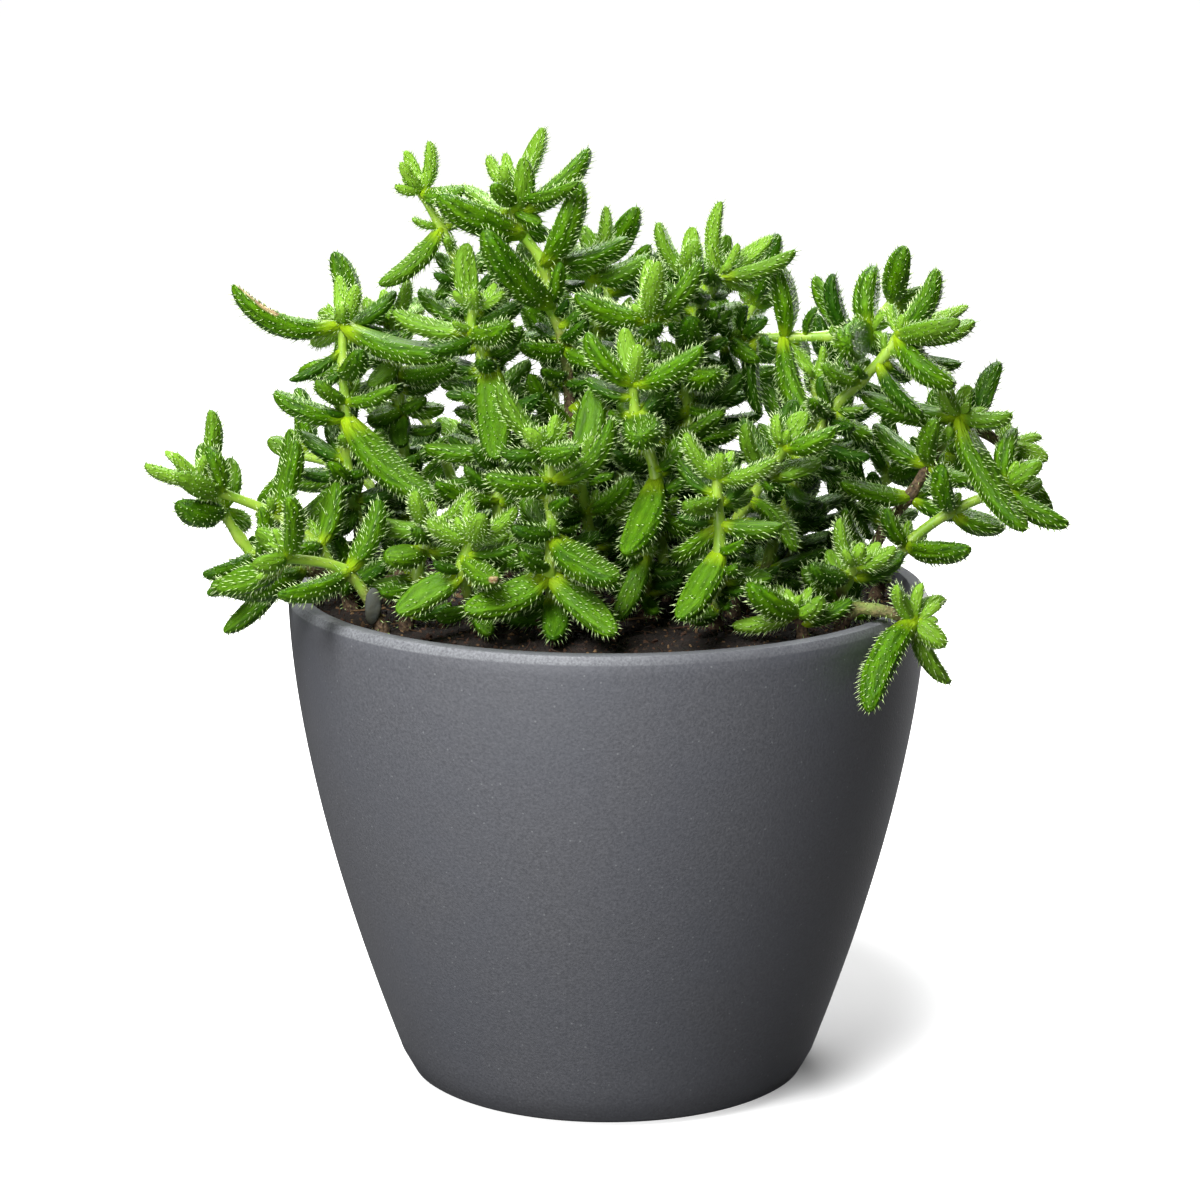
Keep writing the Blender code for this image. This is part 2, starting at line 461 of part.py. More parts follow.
def set_shoots(names, stems, points_of):
    """Adds the stems of the shoots that are set by hand, and gives the leaves that they want."""
    wanted = []
    for shoot in SHOOTS:
        joints = [seen(*joint) for joint in shoot.stem]
        if shoot.start[0] in names:
            parent, joint = shoot.start
            node = names.index(parent)
            points = [points_of[parent][joint]] + joints
            stems.append(tapered(node, points))
        else:
            node = len(names)
            names.append(shoot.name)
            stems.append(tapered(node, rooted(*shoot.start, joints)))
            points = stems[-1].points[1:]
        points_of[shoot.name] = points
        for leaf in shoot.leaves:
            base, direction = points[leaf.joint], joint_direction(points, leaf.joint)
            tip = seen(leaf.right, leaf.up, leaf.back)
            spines = spine_count(leaf.width)
            wanted.append(Blade(node, base, tip, direction, None, leaf.width, leaf.bow, spines))
    return wanted


def grow_shoots(names, stems):
    """Adds the stems of the shoots that grow by rule, and gives the leaves that they want."""
    wanted = []
    for recipe in GROWN_SHOOTS:
        joints, leaves = grown_shoot(recipe)
        node = len(names)
        names.append(recipe.name)
        stems.append(tapered(node, rooted(*recipe.root, joints)))
        points = stems[-1].points[1:]
        for joint, tip, width in leaves:
            direction = joint_direction(points, joint)
            wanted.append(Blade(node, points[joint], tip, direction, None, width, LEAF_BOW, int(joint > 1)))
    return wanted


def lay_out():
    """Every stem and leaf of the plant, with the names of their nodes and the room that they take."""
    names, stems = [], []
    wanted = set_shoots(names, stems, {}) + grow_shoots(names, stems)
    room = Room()
    for stem in stems:
        room.add(*stem_balls(stem.points, stem.radii), stem.node)
    blades = [place_leaf(room, blade) for blade in wanted]
    blades += undergrowth(room, stems)
    return names, stems, [blade for blade in blades if blade], room


def new_object(name, mesh_data, material):
    """An object of this name with a finished bmesh in it, scaled to metres."""
    mesh = bpy.data.meshes.new(name)
    bmesh.ops.transform(mesh_data, matrix=Matrix.Scale(MM, 4), verts=mesh_data.verts)
    bmesh.ops.recalc_face_normals(mesh_data, faces=mesh_data.faces)
    mesh_data.to_mesh(mesh)
    mesh_data.free()
    item = bpy.data.objects.new(name, mesh)
    bpy.context.scene.collection.objects.link(item)
    if material:
        mesh.materials.append(material)
    return item


def finish_material(name, colour, roughness, metallic=0.0):
    """A plain material."""
    material = bpy.data.materials.new(name)
    material.use_nodes = True
    shader = material.node_tree.nodes["Principled BSDF"]
    shader.inputs["Base Color"].default_value = (*colour, 1.0)
    shader.inputs["Roughness"].default_value = roughness
    shader.inputs["Metallic"].default_value = metallic
    return material


def turned(profile, sides):
    """A solid turned about Z from a profile of (radius, height) points that starts and ends on the axis."""
    shape = bmesh.new()
    points = [shape.verts.new((radius, 0, height)) for radius, height in profile]
    edges = [shape.edges.new(pair) for pair in zip(points, points[1:])]
    outline = points + edges
    bmesh.ops.spin(shape, geom=outline, cent=(0, 0, 0), axis=(0, 0, 1), angle=2 * math.pi, steps=sides)
    bmesh.ops.remove_doubles(shape, verts=shape.verts, dist=0.001)
    return shape


def cubic(points, t):
    """A point on a cubic Bezier curve."""
    weights = ((1 - t) ** 3, 3 * t * (1 - t) ** 2, 3 * t * t * (1 - t), t**3)
    return tuple(sum(w * p[axis] for w, p in zip(weights, points)) for axis in (0, 1))


def outer_profile():
    """The planter's outside from the edge of its foot up to the rim."""
    end = math.radians(FOOT_FILLET_END)
    fillet = (FOOT_RADIUS + FOOT_FILLET * math.sin(end), FOOT_FILLET * (1 - math.cos(end)))
    return [(FOOT_RADIUS, 0), fillet] + [cubic(WALL_CURVE, t) for t in OUTSIDE_STEPS]


def inner_profile():
    """The planter's inside from the rim down to its floor."""
    wall = [cubic(WALL_CURVE, t) for t in INSIDE_STEPS]
    corner = (FOOT_RADIUS + FLOOR_FILLET, BASE_THICKNESS + FLOOR_FILLET)
    return [(radius - WALL, height) for radius, height in wall] + [corner, (FOOT_RADIUS, BASE_THICKNESS)]


def cut(item, cutter):
    """Takes the cutter out of the item, and removes the cutter."""
    modifier = item.modifiers.new("cut", "BOOLEAN")
    modifier.operation = "DIFFERENCE"
    modifier.solver = "EXACT"
    modifier.object = cutter
    cutter.hide_render = True
    cutter.display_type = "WIRE"
    apply_modifiers(item)
    bpy.data.objects.remove(cutter)


def apply_modifiers(item):
    """Makes an item's modifiers part of its mesh."""
    graph = bpy.context.evaluated_depsgraph_get()
    mesh = bpy.data.meshes.new_from_object(item.evaluated_get(graph))
    item.modifiers.clear()
    item.data = mesh


def smooth(item):
    """Shades an item smooth, but for its edges."""
    item.data.shade_smooth()
    item.data.set_sharp_from_angle(angle=math.radians(SHARP_ANGLE))


def upright_rods(places, radius, low, high, sides):
    """Upright rods at these (x, y) places, in one mesh."""
    shape = bmesh.new()
    size = {"segments": sides, "radius1": radius, "radius2": radius, "depth": high - low}
    for x, y in places:
        place = Matrix.Translation((x, y, (low + high) / 2))
        bmesh.ops.create_cone(shape, cap_ends=True, matrix=place, **size)
    return shape


def make_pot():
    """The planter: a rounded, tapering wall, a chamfered rim, and a flat foot with drain holes."""
    rim = [(RIM_RADIUS - RIM_CHAMFER, POT_HEIGHT), (RIM_RADIUS - WALL, POT_HEIGHT)]
    profile = [(0, 0)] + outer_profile() + rim + inner_profile() + [(0, BASE_THICKNESS)]
    grey = finish_material("planter grey", (0.075, 0.08, 0.088), 0.55)
    pot = new_object("pot", turned(profile, TURNED_SIDES), grey)
    angles = [2 * math.pi * k / DRAIN_COUNT for k in range(DRAIN_COUNT)]
    places = [(DRAIN_CIRCLE * math.cos(a), DRAIN_CIRCLE * math.sin(a)) for a in angles]
    drains = upright_rods(places, DRAIN_RADIUS, -BASE_THICKNESS, 2 * BASE_THICKNESS, DRAIN_SIDES)
    cut(pot, new_object("drains", drains, None))
    smooth(pot)


def make_soil(stems):
    """The soil: it fills the planter almost to its rim, with a hole for each stem's root."""
    top = [(radius, soil_height(radius, 0)) for radius in (SOIL_RADIUS, SOIL_MIDDLE_RING, 0)]
    side = [(radius - FIT_GAP, height) for radius, height in reversed(inner_profile()[:-1])]
    floor = BASE_THICKNESS + FIT_GAP
    profile = [(0, floor), (FOOT_RADIUS - FIT_GAP, floor)] + side + top
    shape = turned(profile, TURNED_SIDES)
    for vert in shape.verts:
        if vert.co.z > SOIL_EDGE + FIT_GAP:
            vert.co.z += SOIL_LUMPS * noise.noise(vert.co / SOIL_LUMP_SIZE)
    earth = finish_material("potting soil", (0.035, 0.02, 0.012), 0.95)
    soil = new_object("soil", shape, earth)
    roots = [stem.points[0] for stem in stems if stem.points[0][2] < SOIL_EDGE]
    low = min(root[2] for root in roots) - FIT_GAP
    radius = STEM_ROOT_RADIUS + HOLE_CLEARANCE
    holes = upright_rods([root[:2] for root in roots], radius, low, POT_HEIGHT, HOLE_SIDES)
    cut(soil, new_object("stem_holes", holes, None))


def ring(shape, centre, across, over, sides, turn=0.0):
    """A ring of points round a centre, on the two half axes across and over."""
    angles = [turn + 2 * math.pi * k / sides for k in range(sides)]
    return [shape.verts.new(centre + across * math.cos(a) + over * math.sin(a)) for a in angles]


def bridge(shape, first, second):
    """The band of faces between two rings."""
    count = len(first)
    return [
        shape.faces.new((first[k], first[(k + 1) % count], second[(k + 1) % count], second[k]))
        for k in range(count)
    ]


def make_stem(stem):
    """A stem as a tapering tube with flat ends, its rings square to the way it grows."""
    shape = bmesh.new()
    rings = []
    side = np.array((1.0, 0.0, 0.0))
    for k, point in enumerate(stem.points):
        along = joint_direction(stem.points, k)
        side = unit(side - along * np.dot(side, along))
        over = np.cross(along, side)
        radius = stem.radii[k]
        rings.append(ring(shape, Vector(point), Vector(side * radius), Vector(over * radius), STEM_SIDES))
    for first, second in zip(rings, rings[1:]):
        bridge(shape, first, second)
    shape.faces.new(reversed(rings[0]))
    shape.faces.new(rings[-1])
    return shape


def raise_spine(shape, face, towards):
    """Raises a slender three-sided spine at a triangle's first corner, leaning towards the leaf's end."""
    corner, second, third = face.verts
    height = (face.normal + towards * SPINE_LEAN).normalized() * SPINE_HEIGHT
    peak = shape.verts.new(corner.co + height)
    foot = []
    for share in (0.2, 0.8):
        way = second.co.lerp(third.co, share) - corner.co
        foot.append(shape.verts.new(corner.co + way.normalized() * SPINE_WIDTH))
    shape.faces.remove(face)
    for corners in ((corner, second, foot[0]), (second, third, foot[1], foot[0]), (third, corner, foot[1]),
                    (corner, foot[0], peak), (foot[0], foot[1], peak), (foot[1], corner, peak)):
        shape.faces.new(corners)


def make_leaf(blade, number, room):
    """A leaf as rings on its bowed axis, between a foot sunk in its stem and a blunt end, and its spines."""
    sides = 5 if blade.width > LARGE_LEAF else 4
    shape = bmesh.new()
    along = unit(blade.tip - blade.base)
    side = np.cross(along, blade.normal)
    foot = shape.verts.new(Vector(blade.base - blade.direction * LEAF_SINK))
    end = shape.verts.new(Vector(blade.tip))
    rings = []
    for t in RING_STEPS if blade.width > SMALL_LEAF else SMALL_RING_STEPS:
        centre = leaf_axis(blade.base, blade.tip, blade.normal, blade.bow, t)
        radius = leaf_radius(t, blade.width) * FACET_GROWTH
        across, over = Vector(side * radius), Vector(blade.normal * radius * LEAF_THICKNESS)
        rings.append(ring(shape, Vector(centre), across, over, sides, math.pi / sides))
    pairs = [(k, (k + 1) % sides) for k in range(sides)]
    for k, after in pairs:
        shape.faces.new((rings[0][after], rings[0][k], foot))
    skin = [face for first, second in zip(rings, rings[1:]) for face in bridge(shape, first, second)]
    skin += [shape.faces.new((rings[-1][k], rings[-1][after], end)) for k, after in pairs]
    bmesh.ops.recalc_face_normals(shape, faces=shape.faces)
    skin = bmesh.ops.triangulate(shape, faces=skin)["faces"]
    shape.normal_update()
    chosen = {(number * sides + k * (len(skin) // blade.spines)) % len(skin) for k in range(blade.spines)}
    for face in [skin[k] for k in sorted(chosen)]:
        peak = np.array([face.verts[0].co + face.normal * SPINE_HEIGHT])
        if room.free(peak, np.array([SPINE_WIDTH / 2]), blade.node, SPINE_CLEARANCE):
            raise_spine(shape, face, Vector(along))
    return shape


def fuse(name, pieces, material):
    """One solid from overlapping pieces: the first, with the rest joined to it by one Boolean union."""
    first, *rest = [new_object(f"{name}_piece_{k}", piece, None) for k, piece in enumerate(pieces)]
    group = bpy.data.collections.new(name + "_pieces")
    for item in rest:
        group.objects.link(item)
    modifier = first.modifiers.new("join", "BOOLEAN")
    modifier.operation = "UNION"
    modifier.solver = "EXACT"
    modifier.operand_type = "COLLECTION"
    modifier.collection = group
    apply_modifiers(first)
    for item in rest:
        bpy.data.objects.remove(item)
    bpy.data.collections.remove(group)
    first.name = name
    first.data.name = name
    first.data.materials.clear()
    first.data.materials.append(material)
    smooth(first)


def make_shoots(names, stems, blades, room):
    """One solid for each leafy stem, with its forks, leaves and spines."""
    green = finish_material("leaf green", (0.09, 0.26, 0.035), 0.45)
    for node, name in enumerate(names):
        pieces = [make_stem(stem) for stem in stems if stem.node == node]
        pieces += [make_leaf(blade, k, room) for k, blade in enumerate(blades) if blade.node == node]
        fuse(name, pieces, green)


def main():
    """Clears the scene and builds the planter, the soil and the plant."""
    for item in list(bpy.data.objects):
        bpy.data.objects.remove(item)
    names, stems, blades, room = lay_out()
    make_pot()
    make_soil(stems)
    make_shoots(names, stems, blades, room)


main()
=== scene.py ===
"""The looks of a potted pickle plant: a turned planter, potting soil, and leafy stems with bristled leaves.

Every length is in millimetres until a mesh is made, and each mesh is in metres. +Z is up, the origin is the
middle of the planter's underside, and the plant's best side faces -Y.
"""

import itertools
import math
import random
from collections import namedtuple

import bmesh
import bpy
import numpy as np
from mathutils import Matrix, Vector, noise


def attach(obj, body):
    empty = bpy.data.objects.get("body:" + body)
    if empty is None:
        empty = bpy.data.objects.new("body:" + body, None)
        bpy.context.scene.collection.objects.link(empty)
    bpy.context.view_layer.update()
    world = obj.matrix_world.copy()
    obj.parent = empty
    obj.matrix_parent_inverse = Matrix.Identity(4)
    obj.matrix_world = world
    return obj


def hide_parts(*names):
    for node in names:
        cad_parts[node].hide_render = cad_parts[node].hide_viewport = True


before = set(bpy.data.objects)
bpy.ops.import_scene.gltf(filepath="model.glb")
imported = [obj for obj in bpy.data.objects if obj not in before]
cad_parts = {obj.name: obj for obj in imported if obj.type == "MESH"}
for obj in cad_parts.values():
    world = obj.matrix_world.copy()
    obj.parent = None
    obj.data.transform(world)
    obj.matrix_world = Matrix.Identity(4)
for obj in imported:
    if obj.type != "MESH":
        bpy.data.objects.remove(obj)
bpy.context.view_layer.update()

MM = 0.001

# The planter.
POT_HEIGHT = 110.0
RIM_RADIUS = 70.0
WALL = 3.8
BASE_THICKNESS = 4.0
FOOT_RADIUS = 38.5
FOOT_FILLET = 8.0
FOOT_FILLET_END = 38.0
RIM_CHAMFER = 0.9
RIM_CHAMFER_DROP = 1.6
CHAMFER_FOOT = POT_HEIGHT - RIM_CHAMFER_DROP
CHAMFER_FADE = 0.5
RIM_EDGE = 0.35
# How much of the rim's wear and painted highlight its flat top gets, against the chamfer's.
RIM_TOP_WEAR = 0.55
WALL_CURVE = ((46.2, 6.6), (60.5, 45.0), (69.2, 80.0), (RIM_RADIUS, CHAMFER_FOOT))
WALL_STEPS = 28
FILLET_STEPS = 8
FLOOR_FILLET = 4.0
DRAIN_COUNT = 4
DRAIN_RADIUS = 4.0
DRAIN_CIRCLE = 21.0
DRAIN_SIDES = 24
TURNED_SIDES = 128
SHARP_ANGLE = 35.0

# The soil: a low dome of grains, with crumbs, root fibres and dry twigs on it.
FIT_GAP = 0.3
SOIL_EDGE = 105.6
SOIL_DOME = 2.4
SOIL_RADIUS = RIM_RADIUS - WALL - FIT_GAP
SOIL_RINGS = 60
SOIL_SIDES = 240
SOIL_SIDE_SKIP = 3
SOIL_LUMPS = ((9.0, 0.45), (3.4, 0.5), (1.5, 0.42), (0.8, 0.22))
SOIL_SEED = 5
SOIL_TOP_CLEAR = 2
FLOOR_CORNER_CLEAR = 2
HOLE_DEPTH = 8.0

# The stems.
EYE = (0.0, -930.0, 309.0)
STEM_ROOT_RADIUS = 1.45
STEM_TIP_RADIUS = 1.0
ROOT_DEPTH = HOLE_DEPTH - FIT_GAP
COLLAR_HEIGHT = 1.0
STEM_STEP = 1.2
STEM_ROUND_SIDES = 10
KNOT_SWELL = 0.3
KNOT_REACH = 1.7

# The leaves: a neck, a full middle up to the shoulder, and a blunt end.
LEAF_THICKNESS = 0.86
LEAF_BOW = 0.07
NECK_SHARE = 0.3
NECK_END = 0.32
SHOULDER = 0.66
BLUNTNESS = 2.6
NECK_CURVE = 0.8
LEAST_ACROSS = 0.2

# The room that leaves keep clear.
LEAF_GAP = 0.55
OWN_GAP = 0.1
OWN_REACH = 3.6
SOIL_CLEARANCE = 0.9
RIM_CLEARANCE = 0.5
STEM_BALL_STEP = 1.2
LEAF_BALL_STEP = 1.4
LEAF_BALLS = (0.12, 0.97)
LEAST_BALL = 0.5

Leaf = namedtuple("Leaf", "joint right up back width bow", defaults=(LEAF_BOW,))
Shoot = namedtuple("Shoot", "name start stem leaves")
Stem = namedtuple("Stem", "node points radii")
Blade = namedtuple("Blade", "node base tip direction normal width bow youth dry")

# A shoot starts at a root, (right, back) in plan, or at a fork, (shoot, joint). Its stem then passes joints,
# (right, up, back), and its leaves name the joint that they grow from, 0 being the start. Right and up are
# where a point shows in the upright plane through the planter's axis, seen from EYE, and back is its depth.
SHOOTS = (
    Shoot("runner_left", (-41, 9), (
        (-47, 112, 8), (-58, 112, 3), (-67, 113.4, -4), (-71.5, 114, -7), (-76.5, 115.5, -9),
        (-80.5, 120.5, -10), (-84.5, 127, -11), (-89, 134, -12)), (
        Leaf(2, -60.5, 121.5, -2, 5.2), Leaf(3, -87, 108, -24, 6.6, 0.1), Leaf(3, -64, 123, 10, 5.4),
        Leaf(4, -84.5, 99.5, -10, 5.6), Leaf(5, -76, 129.5, -16, 5.2), Leaf(5, -69.5, 144.5, -2, 6.2),
        Leaf(5, -82, 110, -4, 4.2), Leaf(7, -94, 131, -22, 7.0, 0.12), Leaf(7, -82.5, 138.5, -5, 5.2),
        Leaf(7, -79.5, 121, -1, 4.6), Leaf(8, -86.5, 149, -13, 5.8), Leaf(8, -101, 137, -15, 4.4),
        Leaf(8, -94.5, 139.5, -16, 3.0), Leaf(8, -96.5, 140, -6, 2.6))),
    Shoot("tall_left", (-55, 17), (
        (-54.5, 113, 15), (-54, 121, 12), (-55.5, 128, 9), (-56.5, 134, 7), (-57, 141, 6),
        (-57, 147.5, 5), (-57.2, 151, 5), (-57.5, 160, 5), (-57.5, 168, 5)), (
        Leaf(4, -73, 117, 0, 7.0), Leaf(4, -60.5, 137.5, -1, 4.2), Leaf(4, -62, 140.5, 13, 3.4),
        Leaf(6, -72.5, 153, 3, 6.4), Leaf(6, -38.5, 129.5, -14, 8.0), Leaf(7, -63, 155.5, -2, 4.2),
        Leaf(7, -46, 154.5, -2, 4.6), Leaf(9, -81, 176.5, -2, 6.8, 0.16),
        Leaf(9, -32.5, 162, -6, 7.2, 0.08), Leaf(9, -54.5, 176.5, 2, 3.8), Leaf(9, -58, 178.5, 10, 3.4),
        Leaf(9, -64, 164, 15, 4.2))),
    Shoot("left_behind", (-42, 28), (
        (-42, 122, 26), (-44, 138, 23), (-45, 150, 21), (-46, 160, 19), (-47.5, 168, 17)), (
        Leaf(2, -35, 143, 20, 4.4), Leaf(2, -54, 136, 30, 5.6), Leaf(3, -52, 146.5, 16, 5.8),
        Leaf(3, -35.5, 149.5, 20, 5.0), Leaf(4, -51.5, 154, 13, 5.6), Leaf(5, -43.5, 178, 14, 4.6),
        Leaf(5, -52.5, 173.5, 16, 4.2), Leaf(5, -48.5, 175.5, 22, 2.8), Leaf(5, -40, 172, 28, 5.0))),
    Shoot("top_left", (-22, 24), (
        (-23, 130, 22), (-26, 152, 18), (-29, 169, 15), (-31, 178, 13), (-33.5, 184, 12), (-36, 189, 11),
        (-40, 196.5, 10)), (
        Leaf(2, -36, 158, 24, 5.2), Leaf(2, -17, 160, 22, 5.2), Leaf(3, -43, 175.5, 16, 5.8),
        Leaf(3, -21, 177, 20, 5.4), Leaf(4, -37, 183.5, 17, 3.6), Leaf(6, -49.5, 176.5, 5, 5.8),
        Leaf(6, -30, 193.5, 17, 4.2), Leaf(7, -38.5, 207.5, 9, 4.4), Leaf(7, -43.5, 205.5, 12, 3.0),
        Leaf(7, -44.5, 203, 5, 2.8))),
    Shoot("left_mid", (-24, -8), (
        (-24, 118, -7), (-24, 129, -6), (-24.5, 141, -6), (-25.5, 152, -7), (-26, 160, -9),
        (-29.5, 166.5, -11), (-29, 171.5, -12)), (
        Leaf(1, -35, 116, -16, 5.4), Leaf(2, -39.5, 133, -15, 5.8), Leaf(2, -12, 133, 0, 5.2),
        Leaf(3, -40, 141, -4, 5.4), Leaf(3, -15, 147, -12, 5.2), Leaf(5, -24.5, 138.5, -21, 7.2),
        Leaf(5, -19, 167, 2, 5.6), Leaf(6, -46.5, 168.5, -2, 5.0), Leaf(6, -22, 167.5, -25, 6.8),
        Leaf(7, -30.5, 185.5, -9, 5.4), Leaf(7, -22.5, 175, -14, 3.4), Leaf(7, -29, 175.5, -19, 3.2))),
    Shoot("crown", (-9, 3), (
        (-7, 125, 3), (-8, 146, 2), (-9.5, 163, 1), (-12.5, 172, 0), (-14, 181, -1), (-18.5, 187.5, -1),
        (-20, 192, -1), (-20.5, 197, 0)), (
        Leaf(1, -14, 123, -12, 5.4), Leaf(2, -17, 157, -9, 4.8), Leaf(2, 2, 146, -13, 5.6),
        Leaf(3, -21, 163.5, -9, 5.6), Leaf(3, 1, 160, -13, 5.6), Leaf(4, -26.5, 186, -10, 8.0),
        Leaf(4, -12.5, 181.5, -9, 3.8), Leaf(5, -6.5, 199, -7, 8.0), Leaf(5, 4.5, 189, -1, 6.6),
        Leaf(6, -36.5, 198, -7, 8.0, 0.04), Leaf(7, -18.3, 204, -6, 4.8), Leaf(7, -4, 206, 5, 6.8),
        Leaf(7, -31, 198, 10, 4.6), Leaf(8, -14, 210.5, 8, 5.2), Leaf(8, -25.5, 204.5, 1, 4.2),
        Leaf(8, -22, 205, 7, 2.8))),
    Shoot("crown_right", (4, 17), (
        (3, 130, 16), (1, 150, 14), (-2, 167, 12), (-4, 178, 10)), (
        Leaf(2, 11, 149, 25, 5.4), Leaf(2, -10, 150, 22, 5.4), Leaf(3, 6.5, 172.5, 3, 5.6),
        Leaf(3, -9, 172, 24, 5.4), Leaf(4, 9, 185, 6, 6.2), Leaf(4, -0.5, 193.5, 10, 4.0),
        Leaf(4, -4.5, 183, 2, 3.0), Leaf(4, -10, 186, 19, 4.6))),
    Shoot("mid_right", (13, -5), (
        (11.5, 122, -5), (10.5, 142, -6), (9.5, 157, -7), (9, 169, -8)), (
        Leaf(1, 22, 128, -13, 5.6), Leaf(1, 3, 128, -16, 5.6), Leaf(2, 25, 149, -13, 5.8),
        Leaf(2, -3, 141, 2, 5.4), Leaf(4, -7, 174.5, -13, 7.0), Leaf(4, 20, 182, -12, 6.4),
        Leaf(4, 13, 181.5, -16, 4.4), Leaf(4, 9, 182, -3, 4.2))),
    Shoot("top_right", (23, 5), (
        (20, 124, 5), (18, 143, 5), (17, 158, 4), (18, 167, 4), (21, 173.5, 4), (24, 178.5, 4)), (
        Leaf(1, 30, 131, 10, 5.4), Leaf(2, 29, 146, 0, 5.6), Leaf(2, 13, 141, 14, 5.2),
        Leaf(3, 23, 157, -13, 7.4), Leaf(3, 12, 164, 13, 5.2), Leaf(6, 24.5, 194.5, 3, 4.6),
        Leaf(6, 40.5, 184, 2, 5.4), Leaf(6, 28, 185.5, 4, 3.4), Leaf(6, 35.5, 187, 11, 4.2),
        Leaf(6, 31.5, 176, 10, 3.4))),
    Shoot("top_right_behind", (15, 27), (
        (14, 130, 26), (15, 153, 23), (16, 168, 20), (17, 178, 18)), (
        Leaf(2, 27, 154, 28, 5.4), Leaf(2, 3, 158, 28, 5.2), Leaf(3, 29, 172.5, 24, 5.4),
        Leaf(3, 6, 175, 26, 5.0), Leaf(4, 11, 190, 17, 4.8), Leaf(4, 18.3, 189, 20, 4.0),
        Leaf(4, 19, 186, 10, 4.8), Leaf(4, 24, 184, 26, 4.4))),
    Shoot("front_top", (8, -24), (
        (8.5, 118, -33), (10.5, 127, -33), (10.5, 134, -33), (8.5, 141, -32), (6, 148, -32),
        (5.5, 155, -33)), (
        Leaf(1, 2, 102, -44, 4.6), Leaf(2, 19, 122, -28, 5.4), Leaf(2, -1, 128, -23, 5.2),
        Leaf(3, 4, 115, -44, 7.2), Leaf(3, 15, 143, -28, 4.0), Leaf(5, 7, 143, -50, 8.0),
        Leaf(5, 4, 152, -18, 6.0), Leaf(6, -4.5, 166, -36, 6.8), Leaf(6, 20.5, 163, -39, 6.8),
        Leaf(6, 6.5, 163.5, -39, 3.6), Leaf(6, 3.5, 167, -29, 4.2))),
    Shoot("front_mid", (-11, -29), (
        (-13, 112.5, -46), (-12.2, 121, -46), (-12.5, 128, -46), (-12.5, 133.5, -46), (-13.5, 141, -46)),
        (
        Leaf(1, -31.5, 104.5, -54, 7.2), Leaf(1, 1.5, 99, -58, 6.6), Leaf(2, 2, 111.5, -60, 8.2),
        Leaf(2, -18, 130, -35, 5.8), Leaf(4, -26.5, 134.5, -52, 6.6), Leaf(4, 0.5, 147, -48, 6.4, 0.16),
        Leaf(5, -23.5, 155, -45, 5.8), Leaf(5, -17.8, 145, -52, 4.2), Leaf(5, -11.5, 148, -48, 3.8),
        Leaf(5, -7, 140.5, -59, 6.4))),
    Shoot("front_left", (-28, -29), (
        (-32, 113, -45), (-31.3, 116.5, -46), (-30, 120.5, -47)), (
        Leaf(1, -46.5, 104, -50, 6.4), Leaf(2, -25, 109, -57, 5.8), Leaf(2, -22, 122, -38, 5.2),
        Leaf(3, -39.5, 124.5, -50, 5.0), Leaf(3, -20, 127.5, -50, 4.8), Leaf(3, -30, 129, -46, 3.4),
        Leaf(3, -27.5, 126, -56, 4.8))),
    Shoot("front_right", (23, -31), (
        (24.7, 112, -43), (24.5, 118, -44), (24.3, 124, -44), (23.8, 129.5, -44), (24, 134, -44)), (
        Leaf(1, 36, 112, -38, 5.2), Leaf(2, 15.5, 102.5, -53, 6.8), Leaf(2, 29.5, 120, -50, 3.4),
        Leaf(3, 38.5, 121, -51, 5.6), Leaf(3, 14, 119, -32, 5.4), Leaf(4, 17, 128, -54, 5.2),
        Leaf(4, 31, 131, -30, 5.0), Leaf(5, 17, 144, -46, 4.8), Leaf(5, 36.5, 138, -49, 5.0),
        Leaf(5, 24.3, 139.5, -49, 3.4))),
    Shoot("right_mid", (27, -19), (
        (27, 121, -21), (31, 129, -22), (35, 134.5, -24), (38.5, 141, -26)), (
        Leaf(1, 18, 127, -24, 5.0), Leaf(1, 40, 125, -12, 5.4), Leaf(2, 41, 117.5, -33, 5.4, -0.14),
        Leaf(2, 24, 140, -13, 5.4), Leaf(3, 46.5, 138, -21, 5.0), Leaf(3, 30, 146, -29, 5.0),
        Leaf(4, 49.5, 145, -31, 6.4), Leaf(4, 37, 148, -28, 4.0), Leaf(4, 43, 148.5, -25, 4.4))),
    Shoot("right_low", (50, -24), (
        (51, 107, -27), (52.5, 111, -29), (54, 114.5, -30)), (
        Leaf(1, 43, 114, -31, 5.2), Leaf(1, 57, 103.5, -33, 4.8), Leaf(2, 48.5, 118, -20, 4.8),
        Leaf(3, 51, 125, -31, 4.8), Leaf(3, 63, 118.5, -32, 4.8), Leaf(3, 55.8, 119.5, -34, 3.2))),
    Shoot("over_rim", (49, -35), (
        (54, 104.5, -37), (59, 104.4, -39), (63.5, 103.5, -40), (67.5, 102, -39)), (
        Leaf(4, 55.5, 81.5, -53, 8.2), Leaf(4, 75.5, 88, -36, 5.4), Leaf(4, 74.5, 96.5, -43, 4.8),
        Leaf(4, 74, 106.5, -33, 4.8), Leaf(4, 69, 110.5, -38, 3.4), Leaf(4, 63.5, 107.5, -45, 4.4),
        Leaf(4, 66, 95, -47, 3.8))),
    Shoot("on_soil_right", (41, -41), (
        (41.5, 104, -42),), (
        Leaf(1, 31, 110.5, -51, 7.0), Leaf(1, 47, 107, -46, 5.4), Leaf(1, 36, 110, -34, 5.0),
        Leaf(1, 27, 101, -55, 4.6))),
    Shoot("arch_right", (19, 15), (
        (17, 130, 16), (16.5, 150, 17), (19, 162, 17), (27, 164.5, 15), (38.5, 165, 12), (48, 165.2, 9),
        (57, 166, 7)), (
        Leaf(1, 28, 137, 22, 5.2), Leaf(2, 7, 152, 16, 5.0), Leaf(4, 25, 172, 12, 4.4),
        Leaf(4, 33, 160, 8, 4.8), Leaf(5, 34, 181, 9, 7.2, -0.1), Leaf(5, 46.5, 147, 4, 7.2),
